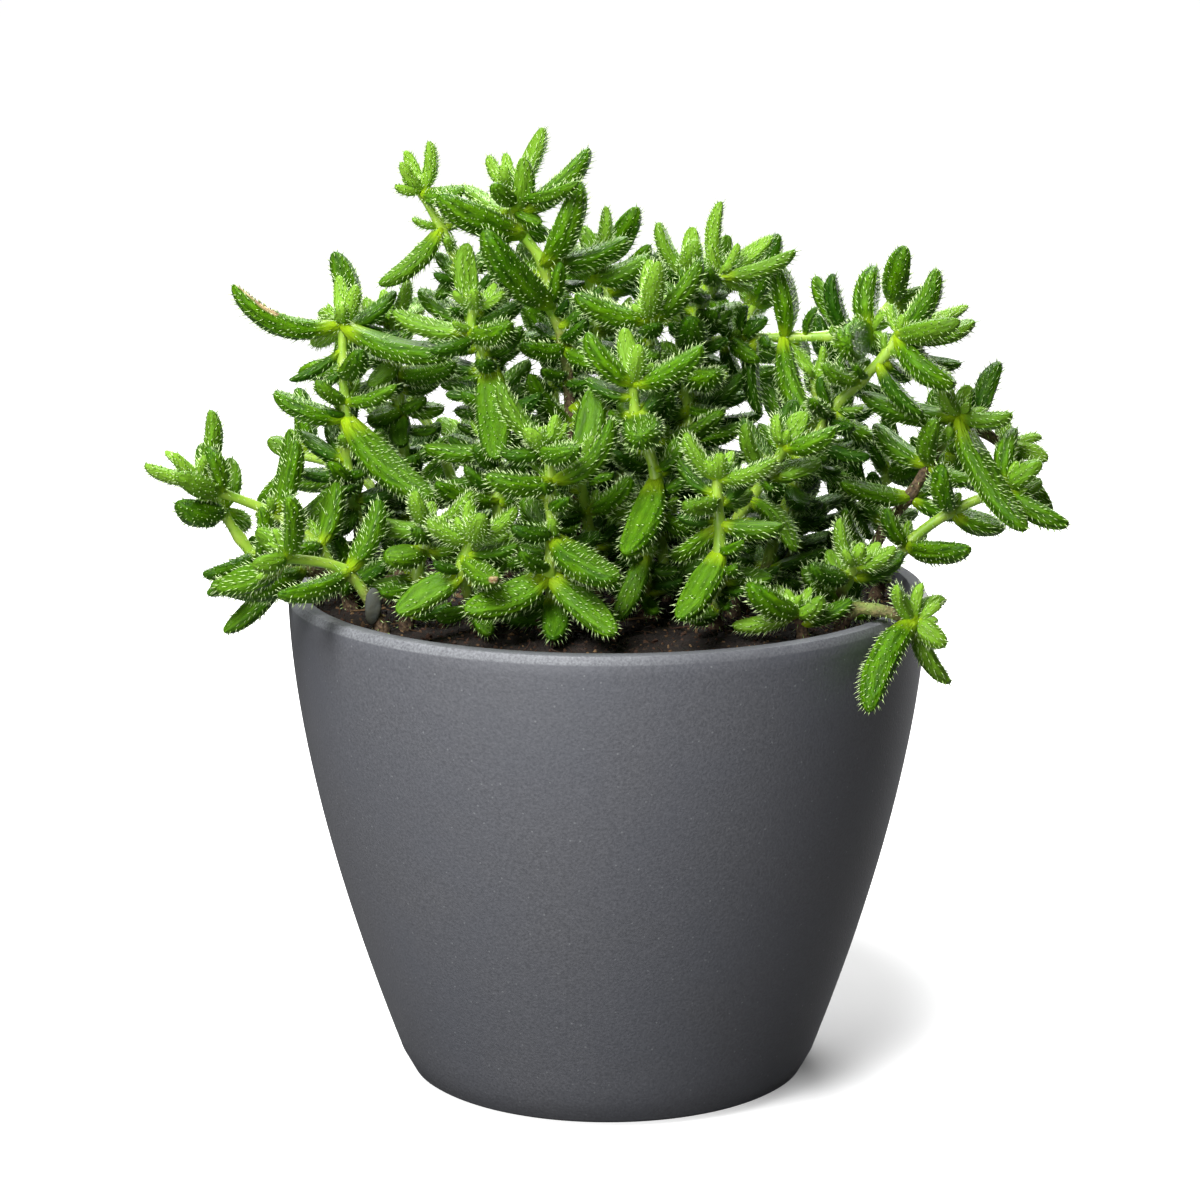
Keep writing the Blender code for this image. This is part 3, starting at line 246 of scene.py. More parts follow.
        Leaf(7, 52, 163.5, -10, 8.4), Leaf(7, 58, 180.5, 12, 7.6))),
    Shoot("upper_right", (34, 3), (
        (37, 122, 2), (43, 138, 1), (49, 149, 0), (55, 155.5, -1), (60.5, 161.5, -2), (63, 165.5, -2)), (
        Leaf(1, 29, 129, -7, 5.4), Leaf(1, 48, 128, 10, 5.4), Leaf(2, 33, 146, 10, 5.6),
        Leaf(3, 58, 143, 0, 5.6), Leaf(3, 41, 152, -7, 5.2), Leaf(4, 47, 161, -8, 4.6),
        Leaf(6, 71, 180, -2, 6.8), Leaf(6, 75.5, 154.5, -10, 8.0), Leaf(6, 76, 166.5, -14, 5.6),
        Leaf(6, 79.5, 168.5, 4, 5.6), Leaf(6, 80.5, 172, 11, 3.8), Leaf(6, 71.5, 175.5, 8, 3.8),
        Leaf(6, 79, 161.5, 8, 5.4))),
    Shoot("lower_right", (53, 15), (
        (57.5, 117, 11), (61, 123.5, 9), (66, 130, 8), (70, 137, 7), (73, 142, 6), (76.5, 148, 5)), (
        Leaf(1, 52, 127, 3, 5.0), Leaf(2, 70, 121, 8, 4.0), Leaf(2, 56, 133, 16, 5.0),
        Leaf(3, 51, 133, 0, 5.8), Leaf(3, 78.5, 125.5, 10, 4.8), Leaf(3, 75, 134, 16, 3.8),
        Leaf(4, 71.5, 147, -3, 4.8), Leaf(4, 58, 146, 13, 6.6), Leaf(4, 80, 133.5, 4, 5.2),
        Leaf(6, 55, 150.5, 2, 6.8), Leaf(6, 91.5, 122.5, -5, 8.0), Leaf(6, 88, 148, 0, 5.6),
        Leaf(6, 72.5, 154, 2, 4.4), Leaf(6, 78.5, 154.5, 8, 3.8))),
    Shoot("lower_right_fork", ("lower_right", 6), (
        (81.5, 144.5, 10), (87, 140.5, 13)), (
        Leaf(2, 97, 126, 11, 6.2), Leaf(2, 94.5, 143, 16, 3.2), Leaf(2, 96, 138, 12, 4.0),
        Leaf(2, 86.5, 147.5, 17, 4.0))),
    Shoot("inner_right", (39, 17), (
        (41, 124, 15), (43, 139, 12), (45.5, 149, 9), (45, 156, 7)), (
        Leaf(1, 33, 130, 25, 5.4), Leaf(2, 33, 143, 23, 5.4), Leaf(2, 53, 134, 20, 5.4),
        Leaf(3, 38, 154, 20, 5.4), Leaf(4, 57, 160, 1, 5.0), Leaf(4, 46.5, 163, 5, 3.6),
        Leaf(4, 36, 158, 0, 4.8))),
    Shoot("low_left", (-43, -28), (
        (-42, 112, -29), (-40.5, 118, -30), (-38.5, 123, -30)), (
        Leaf(1, -52, 110, -28, 4.8), Leaf(1, -33, 110, -30, 5.0), Leaf(2, -48.5, 116.5, -38, 6.2),
        Leaf(2, -31, 121, -22, 5.4), Leaf(3, -53, 125, -26, 5.6), Leaf(3, -29.5, 131, -31, 5.2),
        Leaf(3, -42, 131, -37, 4.4))),
)

# The shoots of the far side and the flanks grow by rule: a root, the way they lean and how far, and a seed.
Grown = namedtuple("Grown", "name root azimuth lean joints seed")
GROWN_SHOOTS = (
    Grown("back_1", (-8, 40), 100, 34, 5, 11), Grown("back_2", (18, 44), 66, 40, 5, 12),
    Grown("back_3", (-30, 40), 126, 52, 5, 13), Grown("back_4", (38, 36), 44, 44, 5, 14),
    Grown("back_5", (4, 56), 88, 66, 3, 15), Grown("back_6", (-22, 53), 112, 70, 3, 16),
    Grown("back_7", (30, 51), 58, 68, 3, 17), Grown("back_8", (-46, 39), 142, 62, 3, 18),
    Grown("back_9", (50, 30), 28, 60, 3, 19), Grown("side_left", (-56, -8), 188, 56, 3, 20),
    Grown("side_right", (59, 2), -4, 62, 3, 21), Grown("middle", (2, 30), 95, 16, 5, 22),
    Grown("front_low", (-2, -20), 250, 30, 3, 23), Grown("left_front_low", (-48, -32), 214, 58, 2, 24),
)
INTERNODE = 13.5
GROWN_LEAF = 17.0
GROWN_LEAF_WIDTH = 6.2
LEAF_RISE = 0.15
LEAN_START = 0.45
LEAN_GROWTH = 0.75
TILT_STRAY = 0.12
HEADING_STRAY = 0.25
TURN_STRAY = 0.3
LENGTH_SPREAD = (0.85, 1.15)
# The pairs of leaves at a joint, and at the tip: each one's size, and how far it spreads from the stem.
JOINT_PAIRS = ((1.0, 1.0),)
END_PAIRS = ((1.0, 0.95), (0.5, 0.55))
FULL_SPREAD = 1.35
# The rise of the nearly level line that a pair of leaves stands square to.
SIDE_LIFT = 0.2
GROWN_SIDE_LIFT = 0.3
SMALL_LEAF_WIDTH = 0.45

# The undergrowth: plain leaves low on the stems.
UNDERGROWTH_SEED = 31
UNDERGROWTH_STEP = 9.0
UNDERGROWTH_TOP = 165.0
UNDERGROWTH_FRONT = -52.0
UNDERGROWTH_LEAF = 15.5
UNDERGROWTH_WIDTH = 5.6
UNDERGROWTH_COUNT = 62
# Painted shade: undergrowth leaves are darkened, as low and deep in the plant.
UNDERGROWTH_YOUTH = -0.65
UNDERGROWTH_START = 0.35
UNDERGROWTH_RISES = (0.1, 0.7)
UNDERGROWTH_TURN_STRAY = 0.4
LEAST_CLIMB = 2.0

# Where a leaf's own place is taken, it is turned aside, and then made smaller.
SHRINKS = (1.0, 0.9, 0.8, 0.7)
SHRUNK_WIDTH = 0.4
SHIFTS = (0.0, -3.0, 3.0, -6.0, 6.0, -9.5, 9.5, -13.0, 13.0)
SIDE_STEPS = ((0.0, 0.0), (0.0, 2.2), (0.0, -2.2), (2.2, 0.0), (-2.2, 0.0))

# The fine leaves, buds and bristles.
LEAF_SIDES = 16
LEAF_STEPS = 15
BUD_SIDES = 10
BUD_STEPS = 8
FINE_LEAF = 4.0
LEAF_NECK_SHARE = 0.42
LEAF_WAVE = 0.035
LEAF_RIDGE = 0.04
LEAF_FULLNESS = 1.04
LEAF_UPPER = 0.6
LEAF_GROOVE = 0.12
LEAF_SHOULDER = 0.5
LEAF_BLUNTNESS = 2.2
LEAF_FOOT_SINK = 0.6
LEAF_SWAY = 0.05
END_CROWDING = 0.9
GROOVE_WIDTH = 0.5
# A leaf's waves: how often each comes along it and round it, and its share of LEAF_WAVE.
WAVES = ((1.4, 1, 1.0), (2.9, 2, 0.6))
STREAK_STRETCH = 3.0
STREAK_OFFSET = 0.37
# The widths under which leaves are young: on the listed shoots, where they are also near a tip, and on shoots
# grown by rule.
YOUNG_LEAF = 6.5
YOUNG_FADE = 2.5
YOUNG_JOINTS = 2.5
GROWN_YOUNG_LEAF = YOUNG_LEAF - 1.2
GROWN_YOUNG_FADE = 2.0
# The bristles' cover: how bare a leaf's upper side is on most leaves, and on this share of them.
BARENESS = (0.15, 0.85)
BARE_SHARE = 0.3
BARE_FROM = 0.5
BARE_FADE = 0.3
BRISTLES_FROM = 0.1
BRISTLES_FADE = 0.12
SHAG_OLD = 0.95
SHAG_YOUNG = 0.8
BRISTLE_STRAY = 0.22
BRISTLE_SIZES = (0.65, 1.15)
BRISTLE_DENSITY = 3.0e6
BRISTLE_PIECES = 4
YOUNG_COAT = 0.45
YOUNG_SPACING = 0.00062
FAR_SIDE = 34.0
FAR_SIDES = 10
FAR_STEPS = 10
# The bristles on the stems.
STEM_SHAG = 0.75
STEM_YOUTH = 0.4
STEM_DROOP = -0.4
STEM_SPACING = 0.0012
STEM_COAT_SEED = 9
WOOD_BARENESS = 0.3
# The buds, in pairs of a length, a rise and a width: two pairs at each tip, one in some of the leaf axils.
BUD_SEED = 41
BUD_FLOOR = 3.0
BUD_LIFT = 0.4
BUD_FOOT = 1.0
BUD_SIZES = (0.8, 1.15)
BUD_GAP = 0.1
TIP_PAIRS = ((5.6, 0.8, 3.0), (3.6, 1.5, 2.3))
AXIL_SHARE = 0.55
AXIL_LENGTHS = (3.0, 6.5)
AXIL_RISE = 0.9
AXIL_WIDTH = 2.6
AXIL_YOUTH = (0.5, 0.9)
# Small inner leaves: a seed, a step along the stems, the shortest and longest leaf, and the furthest forward.
INNER_PASSES = ((43, 2.6, (7.5, 14.5), -70.0), (44, 2.0, (11.0, 18.0), -14.0))
INNER_TOP = 178.0
# The painted shade of inner leaves, from darkest to lightest: they are darkened as deep in the plant.
INNER_YOUTH = (-1.0, -0.25)
INNER_CORE = 58.0
INNER_FLOOR = 1.5
INNER_GAP = 0.1
INNER_START = 0.2
INNER_RISES = (-0.1, 0.7)
INNER_SLIMNESS = 0.38
# Places, (right, up), where the plant is dense. Each gets a leaf from a stem near it. The depths, the stem's
# distance and the leaf's widths are tried in turn, and the leaf ends a little past its place.
DENSE_PLACES = (
    (30, 148), (27, 151), (33, 152), (31, 145), (56, 148), (62, 146), (65, 143), (-35, 149), (-38, 154),
    (35, 168), (43, 162), (-32, 135), (57, 135), (56, 122), (27, 141), (-57, 122), (-15, 187), (-17, 183),
    (-13, 190), (-27, 178), (-46, 175), (-35, 175), (-59, 143), (77, 161), (-51, 167), (-53, 154),
    (71, 161), (66, 151), (53, 151), (-25, 197), (-34, 197), (7, 185), (25, 186), (18, 150), (-20, 150),
    (0, 170), (79, 170), (75, 162), (64, 156), (-64, 152), (-69, 154), (22, 160), (57, 144), (-90, 139),
    (-78, 122), (-74, 104), (-9, 200), (60, 128), (44, 150), (38, 141), (70, 136), (-45, 140), (-25, 160),
    (12, 140), (84, 158), (-84, 110))
DENSE_DEPTHS = tuple(range(-12, 37, 8))
DENSE_REACH = (7.0, 19.0)
DENSE_WIDTHS = (5.2, 3.8)
DENSE_PAST = 4.0
DENSE_NEAREST = 40
DENSE_SKIP = 3
# Dense leaves above INNER_TOP are a little young and paler; below it they are darkened with painted shade.
DENSE_YOUTH_HIGH = 0.1
DENSE_YOUTH_LOW = -0.6
BARK_TOP = 122.0
BARK_FADE = 14.0
BARK_END_SHARPNESS = 3
# Stems that are brown higher up: the share of the stem at which the brown ends.
BARK_ENDS = {"crown": 0.62, "lower_right": 1.0, "tall_left": 0.5, "over_rim": 0.45}

# Dry ends: for a shoot's leaf, where along it the dry part starts, and whether only its upper side is dry.
DRY_LEAVES = {("tall_left", 7): (0.5, True), ("front_left", 1): (0.9, False)}
DRY_FADE = 0.12
DRY_REACH = 1.6
DRY_UPPER_SPREAD = 1.4
DRY_UPPER_START = 0.2

# The grey old leaf on the soil.
OLD_LEAF_FOOT = (-52.0, 101.5, -34.0)
OLD_LEAF_TIP = (-51.5, 109.5, -35.0)
OLD_LEAF_WIDTH = 3.3
OLD_LEAF_BOW = 0.05
OLD_LEAF_FACE = (1.0, 0.2, 0.0)
OLD_LEAF_FLATNESS = 0.72
OLD_LEAF_SEED = 3
OLD_LEAF_SIDES = 16
OLD_LEAF_STEPS = 12

# Colours, as linear red, green and blue.
PLANTER_DARK = (0.074, 0.076, 0.085)
PLANTER_LIGHT = (0.125, 0.127, 0.14)
PLANTER_BLUE = (0.09, 0.097, 0.118)
PLANTER_FLECK = (0.24, 0.25, 0.26)
# The rim's paler grey: rubbed wear, and a painted highlight.
PLANTER_RUBBED = (0.26, 0.27, 0.285)
SOIL_BLACK = (0.004, 0.003, 0.002)
SOIL_BROWN = (0.009, 0.0055, 0.003)
SOIL_RED = (0.024, 0.01, 0.0045)
SOIL_PALE = (0.07, 0.042, 0.019)
LITTER_DARK = (0.009, 0.006, 0.004)
LITTER_RED = (0.06, 0.024, 0.01)
LITTER_STRAW = (0.22, 0.13, 0.055)
RED_TINTS = (0.15, 0.65)
STRAW_TINTS = (0.7, 0.97)
LEAF_DEEP = (0.04, 0.15, 0.001)
LEAF_MIDDLE = (0.095, 0.275, 0.001)
LEAF_BRIGHT = (0.2, 0.41, 0.003)
# The dark of the leaves' wrinkles, and of the painted shade in their grooves.
LEAF_DARK = (0.004, 0.03, 0.0)
# Painted shade: the dark green of leaves deep in the plant.
LEAF_OLD = (0.007, 0.045, 0.001)
# A painted sheen: the greyer green of the leaves' upper side.
LEAF_DULL = (0.11, 0.25, 0.012)
LEAF_YOUNG = (0.27, 0.5, 0.04)
# The neck's yellow-green, brightened with a painted glow of light through it.
LEAF_NECK = (0.42, 0.63, 0.012)
LEAF_PORE = (0.4, 0.6, 0.15)
DRY_TAN = (0.62, 0.5, 0.27)
DRY_BROWN = (0.22, 0.1, 0.04)
STEM_GREEN = (0.2, 0.4, 0.025)
STEM_YELLOW = (0.42, 0.58, 0.07)
BARK_DARK = (0.045, 0.028, 0.016)
BARK_PALE = (0.2, 0.13, 0.07)
BRISTLE_FOOT = (0.22, 0.42, 0.04)
BRISTLE_WHITE = (0.7, 0.88, 0.42)
# Painted shade on the bristles of leaves deep in the plant.
BRISTLE_OLD = (0.09, 0.22, 0.03)
OLD_LEAF_GREY = (0.065, 0.075, 0.065)
OLD_LEAF_BROWN = (0.055, 0.055, 0.035)

# How much wider than its full middle a fleck is.
FLECK_EDGE = 1.4
# How strongly each pattern shows in its material, from 0 to 1.
CLOUD_SHARE = 0.4
SPECKLE_SHARE = 0.5
# The rim's wear and painted highlight, then the least of its fine and wide patches.
RUBBED_SHARE = 0.55
LEAST_FINE_WEAR = 0.3
LEAST_WIDE_WEAR = 0.35
RED_GRAIN_SHARE = 0.55
PALE_GRAIN_SHARE = 0.4
LITTER_GRAIN_SHARE = 0.4
BRIGHT_SHARE = 0.5
DULL_SHARE = 0.35
YOUNG_SHARE = 0.65
OLD_SHARE = 0.75
NECK_COLOUR_SHARE = 0.7
PORE_SHARE = 0.35
# How dark the wrinkles and the painted shade in the grooves are.
WRINKLE_DEPTH = 0.46
OLD_BRISTLE_SHARE = 0.7
# Where along a leaf its neck's yellower colour and painted glow end and are full, and how far up a bristle
# its foot's colour goes.
NECK_COLOUR_FADE = (0.27, 0.03)
BRISTLE_FOOT_FADE = (0.0, 0.5)
# Where round a leaf, towards its upper side, the painted sheen starts and is full.
UPPER_FADE = (0.1, 0.8)
SCAR_FADE = (0.25, 0.6)
RAGGED_SHARE = 0.5
BARK_FADE_IN = (0.35, 0.95)
PATCHY_SHARE = 0.3

# The litter on the soil: a name, a seed, and sizes in metres.
LITTER = (
    ("crumbs", 3, {}),
    ("twigs", 8, {"Crumb_spacing": 0.008, "Crumb_size": 0.0008, "Fibre_density": 5000.0,
                  "Fibre_length": 0.011, "Fibre_thickness": 0.00026, "Clearance": 0.0085}),
)
CRUMB_STRETCH = ((0.4, 0.5, 0.4), (1.9, 1.5, 1.1))
CRUMB_DENSITY = 1.0e6
FIBRE_CURL = 1.0
FIBRE_TURNS = ((-0.45, -0.45, 0.0), (0.45, 0.45, 2 * math.pi))
FIBRE_SIZES = (0.4, 1.3)
FIBRE_SEED_STEP = 7.0

# The studio, in metres, but for the floor's reach in millimetres. To the camera the floor is white, but for a
# soft-edged patch that shows its shade.
CAMERA_PLACE = (-0.0017, -0.930, 0.309)
CAMERA_PITCH = 0.2142
CAMERA_LENS = 130.07
CAMERA_SENSOR = 36.0
FLOOR_REACH = 4e4
FLOOR_TONE = 0.13
FLOOR_SEEN = 0.53
SHADE_MIDDLE = (0.022, 0.042, 0.0)
SHADE_SHAPE = (1.0, 0.78, 1.0)
SHADE_EDGE = (0.042, 0.086)
WORLD_LIGHT = 0.0
LIGHT_TARGET = (0.0, 0.0, 0.1)
# The lights: a name, a place, a size and a power in watts.
LIGHTS = (
    ("key light", (-0.21, -0.45, 0.6), 0.3, 7.8),
    ("front light", (-0.295, -0.634, 0.137), 0.35, 1.9),
    ("back light", (0.0, 0.5, 0.6), 0.35, 6.8),
    ("top light", (0.0, 0.376, 1.134), 0.35, 5.6),
    ("side light", (0.37, 0.53, 0.2), 0.3, 2.3),
)


def unit(vector):
    """A vector's direction."""
    return vector / max(np.linalg.norm(vector), 1e-9)


def seen(right, up, back):
    """The place at depth back that shows at (right, up) in the upright plane through the planter's axis."""
    eye = np.array(EYE)
    share = (back - eye[1]) / -eye[1]
    return eye + share * (np.array((right, 0.0, up)) - eye)


def soil_height(x, y):
    """The soil's surface, without its lumps: a low dome."""
    return SOIL_EDGE + SOIL_DOME * (1 - (x * x + y * y) / SOIL_RADIUS**2)


def leaf_radius(t, width, neck_share=NECK_SHARE, shoulder=SHOULDER, bluntness=BLUNTNESS):
    """Half the width at t along a leaf: a narrow neck, a full middle and a blunt round end."""
    neck = neck_share + (1 - neck_share) * min(1.0, t / NECK_END) ** NECK_CURVE
    past_shoulder = max(0.0, (t - shoulder) / (1 - shoulder))
    return width / 2 * neck * math.sqrt(max(0.0, 1 - past_shoulder**bluntness))


def leaf_axis(base, tip, normal, bow, t):
    """A point on a leaf's bowed axis. A leaf with a positive bow turns its end towards its upper side."""
    length = np.linalg.norm(tip - base)
    return base + (tip - base) * t - normal * (bow * length * 4 * t * (1 - t))


def upper_side(along, direction):
    """The unit vector across a leaf that faces the way its stem grows."""
    across = direction - along * np.dot(direction, along)
    if np.linalg.norm(across) < LEAST_ACROSS:
        across = np.array((0.0, 0.0, 1.0)) - along * along[2]
    return unit(across)


class Room:
    """The space that stems and leaves have taken, as balls, each with the node that holds it."""

    def __init__(self):
        self.centres = np.zeros((0, 3))
        self.radii = np.zeros(0)
        self.nodes = np.zeros(0, int)

    def add(self, centres, radii, node):
        self.centres = np.vstack((self.centres, centres))
        self.radii = np.append(self.radii, radii)
        self.nodes = np.append(self.nodes, np.full(len(radii), node))

    def free(self, centres, radii, node, gap, base=None):
        """True if balls here would stay clear of every other node, by gap. With a base, they also have to
        stay clear of their own node, apart from what lies round that base."""
        others = self.nodes != node
        gaps = np.full(len(self.radii), gap)
        if base is not None:
            near = np.linalg.norm(self.centres - base, axis=1) < self.radii + OWN_REACH
            gaps[~others] = OWN_GAP
            others = others | ~near
        apart = centres[:, None, :] - self.centres[others][None, :, :]
        reach = radii[:, None] + self.radii[others][None, :] + gaps[others][None, :]
        return bool((np.einsum("ijk,ijk->ij", apart, apart) > reach * reach).all())


def clear_of_pot(centres, radii):
    """True if these balls stay above the soil, and off the planter's wall and rim."""
    across = np.hypot(centres[:, 0], centres[:, 1])
    inner = RIM_RADIUS - WALL
    beside = np.maximum(np.maximum(inner - across, across - RIM_RADIUS), 0)
    above = np.maximum(centres[:, 2] - POT_HEIGHT, 0)
    wall = np.hypot(beside, above) > radii + RIM_CLEARANCE
    soil = centres[:, 2] - radii > soil_height(centres[:, 0], centres[:, 1]) + SOIL_CLEARANCE
    return bool((wall & (soil | (across > inner))).all())


def stem_balls(points, radii):
    """The balls that fill a stem."""
    centres, sizes = [], []
    for k in range(len(points) - 1):
        steps = max(2, int(np.linalg.norm(points[k + 1] - points[k]) / STEM_BALL_STEP))
        for t in np.linspace(0, 1, steps, endpoint=False):
            centres.append(points[k] * (1 - t) + points[k + 1] * t)
            sizes.append(radii[k] * (1 - t) + radii[k + 1] * t)
    return np.array(centres + [points[-1]]), np.array(sizes + [radii[-1]])


def leaf_balls(base, tip, normal, width, bow):
    """The balls that fill a leaf, but for its neck."""
    places = np.linspace(*LEAF_BALLS, max(6, int(np.linalg.norm(tip - base) / LEAF_BALL_STEP)))
    centres = np.array([leaf_axis(base, tip, normal, bow, t) for t in places])
    return centres, np.array([max(LEAST_BALL, leaf_radius(t, width)) for t in places])


def rooted(x, y, joints):
    """A stem's points from the foot of its hole in the soil, through the collar just above the soil."""
    ground = soil_height(x, y)
    return [np.array((x, y, ground - ROOT_DEPTH)), np.array((x, y, ground + COLLAR_HEIGHT))] + joints


def tapered(node, points):
    """A stem through these points, thinner towards its tip."""
    return Stem(node, points, np.linspace(STEM_ROOT_RADIUS, STEM_TIP_RADIUS, len(points)))


def joint_direction(points, k):
    """The way a stem grows at one of its points."""
    return unit(points[min(k + 1, len(points) - 1)] - points[max(k - 1, 0)])


def sideways(direction, turn, lift=SIDE_LIFT):
    """The unit vector across a stem at this turn round it."""
    return unit(np.cross(direction, (math.cos(turn), math.sin(turn), lift)))


def grown_shoot(recipe):
    """The joints and leaves of a shoot that grows by rule: it leans outwards, and each pair of leaves
    stands across the pair below it."""
    draw = random.Random(recipe.seed)
    azimuth, lean = math.radians(recipe.azimuth), math.radians(recipe.lean)
    place = np.array((*recipe.root, soil_height(*recipe.root) + COLLAR_HEIGHT))
    joints, leaves, turn = [], [], draw.uniform(0, math.pi)
    for k in range(recipe.joints):
        tilt = lean * (LEAN_START + LEAN_GROWTH * k / max(1, recipe.joints - 1))
        tilt += draw.uniform(-TILT_STRAY, TILT_STRAY)
        heading = azimuth + draw.uniform(-HEADING_STRAY, HEADING_STRAY)
        outward = np.array((math.cos(heading), math.sin(heading), 0.0))
        way = outward * math.sin(tilt) + np.array((0.0, 0.0, math.cos(tilt)))
        place = place + way * INTERNODE * draw.uniform(*LENGTH_SPREAD)
        joints.append(place)
        across = sideways(way, turn, GROWN_SIDE_LIFT)
        for size, spread in END_PAIRS if k == recipe.joints - 1 else JOINT_PAIRS:
            width = GROWN_LEAF_WIDTH * (SMALL_LEAF_WIDTH + (1 - SMALL_LEAF_WIDTH) * size)
            for side in (1, -1):
                out = across * side * spread + way * (FULL_SPREAD - spread) + np.array((0, 0, LEAF_RISE))
                length = GROWN_LEAF * size * draw.uniform(*LENGTH_SPREAD)
                leaves.append((k + 1, place + unit(out) * length, width))
            across = np.cross(way, across)
        turn += math.pi / 2 + draw.uniform(-TURN_STRAY, TURN_STRAY)
    return joints, leaves


def place_leaf(room, wanted, shifts=SHIFTS, gap=LEAF_GAP):
    """The blade nearest the wanted one that stays clear of its neighbours, or None if there is no room."""
    node, base = wanted.node, wanted.base
    sight = unit(base - np.array(EYE))
    side = unit(np.cross(sight, (0.0, 0.0, 1.0)))
    rise = np.cross(side, sight)
    for shrink in SHRINKS:
        width = wanted.width * (SHRUNK_WIDTH + (1 - SHRUNK_WIDTH) * shrink)
        for shift in shifts:
            for right, up in SIDE_STEPS:
                way = wanted.tip + sight * shift + side * right + rise * up - base
                tip = base + way * shrink
                normal = upper_side(unit(way), wanted.direction)
                centres, radii = leaf_balls(base, tip, normal, width, wanted.bow)
                if clear_of_pot(centres, radii) and room.free(centres, radii, node, gap, base):
                    room.add(centres, radii, node)
                    return wanted._replace(tip=tip, normal=normal, width=width)
    return None


def undergrowth(room, stems):
    """The plain leaves low on the stems, in crossing pairs, wherever there is room for them."""
    draw = random.Random(UNDERGROWTH_SEED)
    places = []
    for stem in stems:
        turn = draw.uniform(0, math.pi)
        for first, second in zip(stem.points, stem.points[1:]):
            if first[2] < SOIL_EDGE or second[2] - first[2] < LEAST_CLIMB:
                continue
            step = UNDERGROWTH_STEP / np.linalg.norm(second - first)
            for t in np.arange(UNDERGROWTH_START, 1.0, step):
                base = first * (1 - t) + second * t
                if base[2] < UNDERGROWTH_TOP:
                    places.append((stem.node, base, unit(second - first), turn))
                turn += math.pi / 2 + draw.uniform(-UNDERGROWTH_TURN_STRAY, UNDERGROWTH_TURN_STRAY)
    draw.shuffle(places)
    blades = []
    for node, base, direction, turn in places:
        side = sideways(direction, turn)
        for way in (side, -side):
            length = UNDERGROWTH_LEAF * draw.uniform(*LENGTH_SPREAD)
            tip = base + unit(way + direction * draw.uniform(*UNDERGROWTH_RISES)) * length
            if tip[1] > UNDERGROWTH_FRONT and len(blades) < UNDERGROWTH_COUNT:
                wanted = Blade(
                    node, base, tip, direction, None, UNDERGROWTH_WIDTH, LEAF_BOW, UNDERGROWTH_YOUTH, None)
                blades.append(place_leaf(room, wanted, (0.0,)))
    return blades


def set_shoots(names, stems, points_of):
    """Adds the stems of the listed shoots, and gives the leaves that they want."""
    wanted = []
    for shoot in SHOOTS:
        joints = [seen(*joint) for joint in shoot.stem]
        if shoot.start[0] in names:
            parent, joint = shoot.start
            node = names.index(parent)
            points = [points_of[parent][joint]] + joints
            stems.append(tapered(node, points))
        else:
            node = len(names)
            names.append(shoot.name)
            stems.append(tapered(node, rooted(*shoot.start, joints)))
            points = stems[-1].points[1:]
        points_of[shoot.name] = points
        for k, leaf in enumerate(shoot.leaves):
            base, direction = points[leaf.joint], joint_direction(points, leaf.joint)
            tip = seen(leaf.right, leaf.up, leaf.back)
            near_end = 1.0 - min(1.0, (len(points) - 1 - leaf.joint) / YOUNG_JOINTS)
            youth = near_end * min(1.0, max(0.0, (YOUNG_LEAF - leaf.width) / YOUNG_FADE))
            dry = DRY_LEAVES.get((shoot.name, k))
            wanted.append(Blade(node, base, tip, direction, None, leaf.width, leaf.bow, youth, dry))
    return wanted


def grow_shoots(names, stems):
    """Adds the stems of the shoots that grow by rule, and gives the leaves that they want."""
    wanted = []
    for recipe in GROWN_SHOOTS:
        joints, leaves = grown_shoot(recipe)
        node = len(names)
        names.append(recipe.name)
        stems.append(tapered(node, rooted(*recipe.root, joints)))
        points = stems[-1].points[1:]
        for joint, tip, width in leaves:
            direction = joint_direction(points, joint)
            youth = min(1.0, max(0.0, (GROWN_YOUNG_LEAF - width) / GROWN_YOUNG_FADE))
            wanted.append(Blade(node, points[joint], tip, direction, None, width, LEAF_BOW, youth, None))
    return wanted


def lay_out():
    """Every stem and leaf of the plant, with the names of their nodes and the room that they take."""
    names, stems = [], []
    wanted = set_shoots(names, stems, {}) + grow_shoots(names, stems)
    room = Room()
    for stem in stems:
        room.add(*stem_balls(stem.points, stem.radii), stem.node)
    blades = [place_leaf(room, blade) for blade in wanted]
    blades += undergrowth(room, stems)
    return names, stems, [blade for blade in blades if blade], room


def add_item(name, data):
    """An object of this name in the scene, with this mesh, light or camera."""
    item = bpy.data.objects.new(name, data)
    bpy.context.scene.collection.objects.link(item)
    return item


def mesh_object(name, points, faces, material):
    """An object at the origin whose mesh has these points, in millimetres, and these faces."""
    mesh = bpy.data.meshes.new(name)
    mesh.from_pydata(np.asarray(points, float) * MM, [], faces)
    mesh.update()
    mesh.shade_smooth()
    if material:
        mesh.materials.append(material)
    return add_item(name, mesh)


def set_values(item, name, values):
    """Stores a value at each point of an item's mesh, one number or three."""
    values = np.asarray(values, np.float32)
    kind, place = ("FLOAT", "value") if values.ndim == 1 else ("FLOAT_VECTOR", "vector")
    attribute = item.data.attributes.new(name, kind, "POINT")
    attribute.data.foreach_set(place, values.ravel())


def show(item, slot, *nodes):
    """Lets a finished piece ride on the plant's one body, and stand for these nodes of the frame."""
    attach(item, "root")
    if nodes:
        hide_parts(*nodes)


def apply_modifiers(item):
    """Makes an item's modifiers part of its mesh."""
    graph = bpy.context.evaluated_depsgraph_get()
    mesh = bpy.data.meshes.new_from_object(item.evaluated_get(graph), depsgraph=graph)
    item.modifiers.clear()
    item.data = mesh


# Shader nodes.


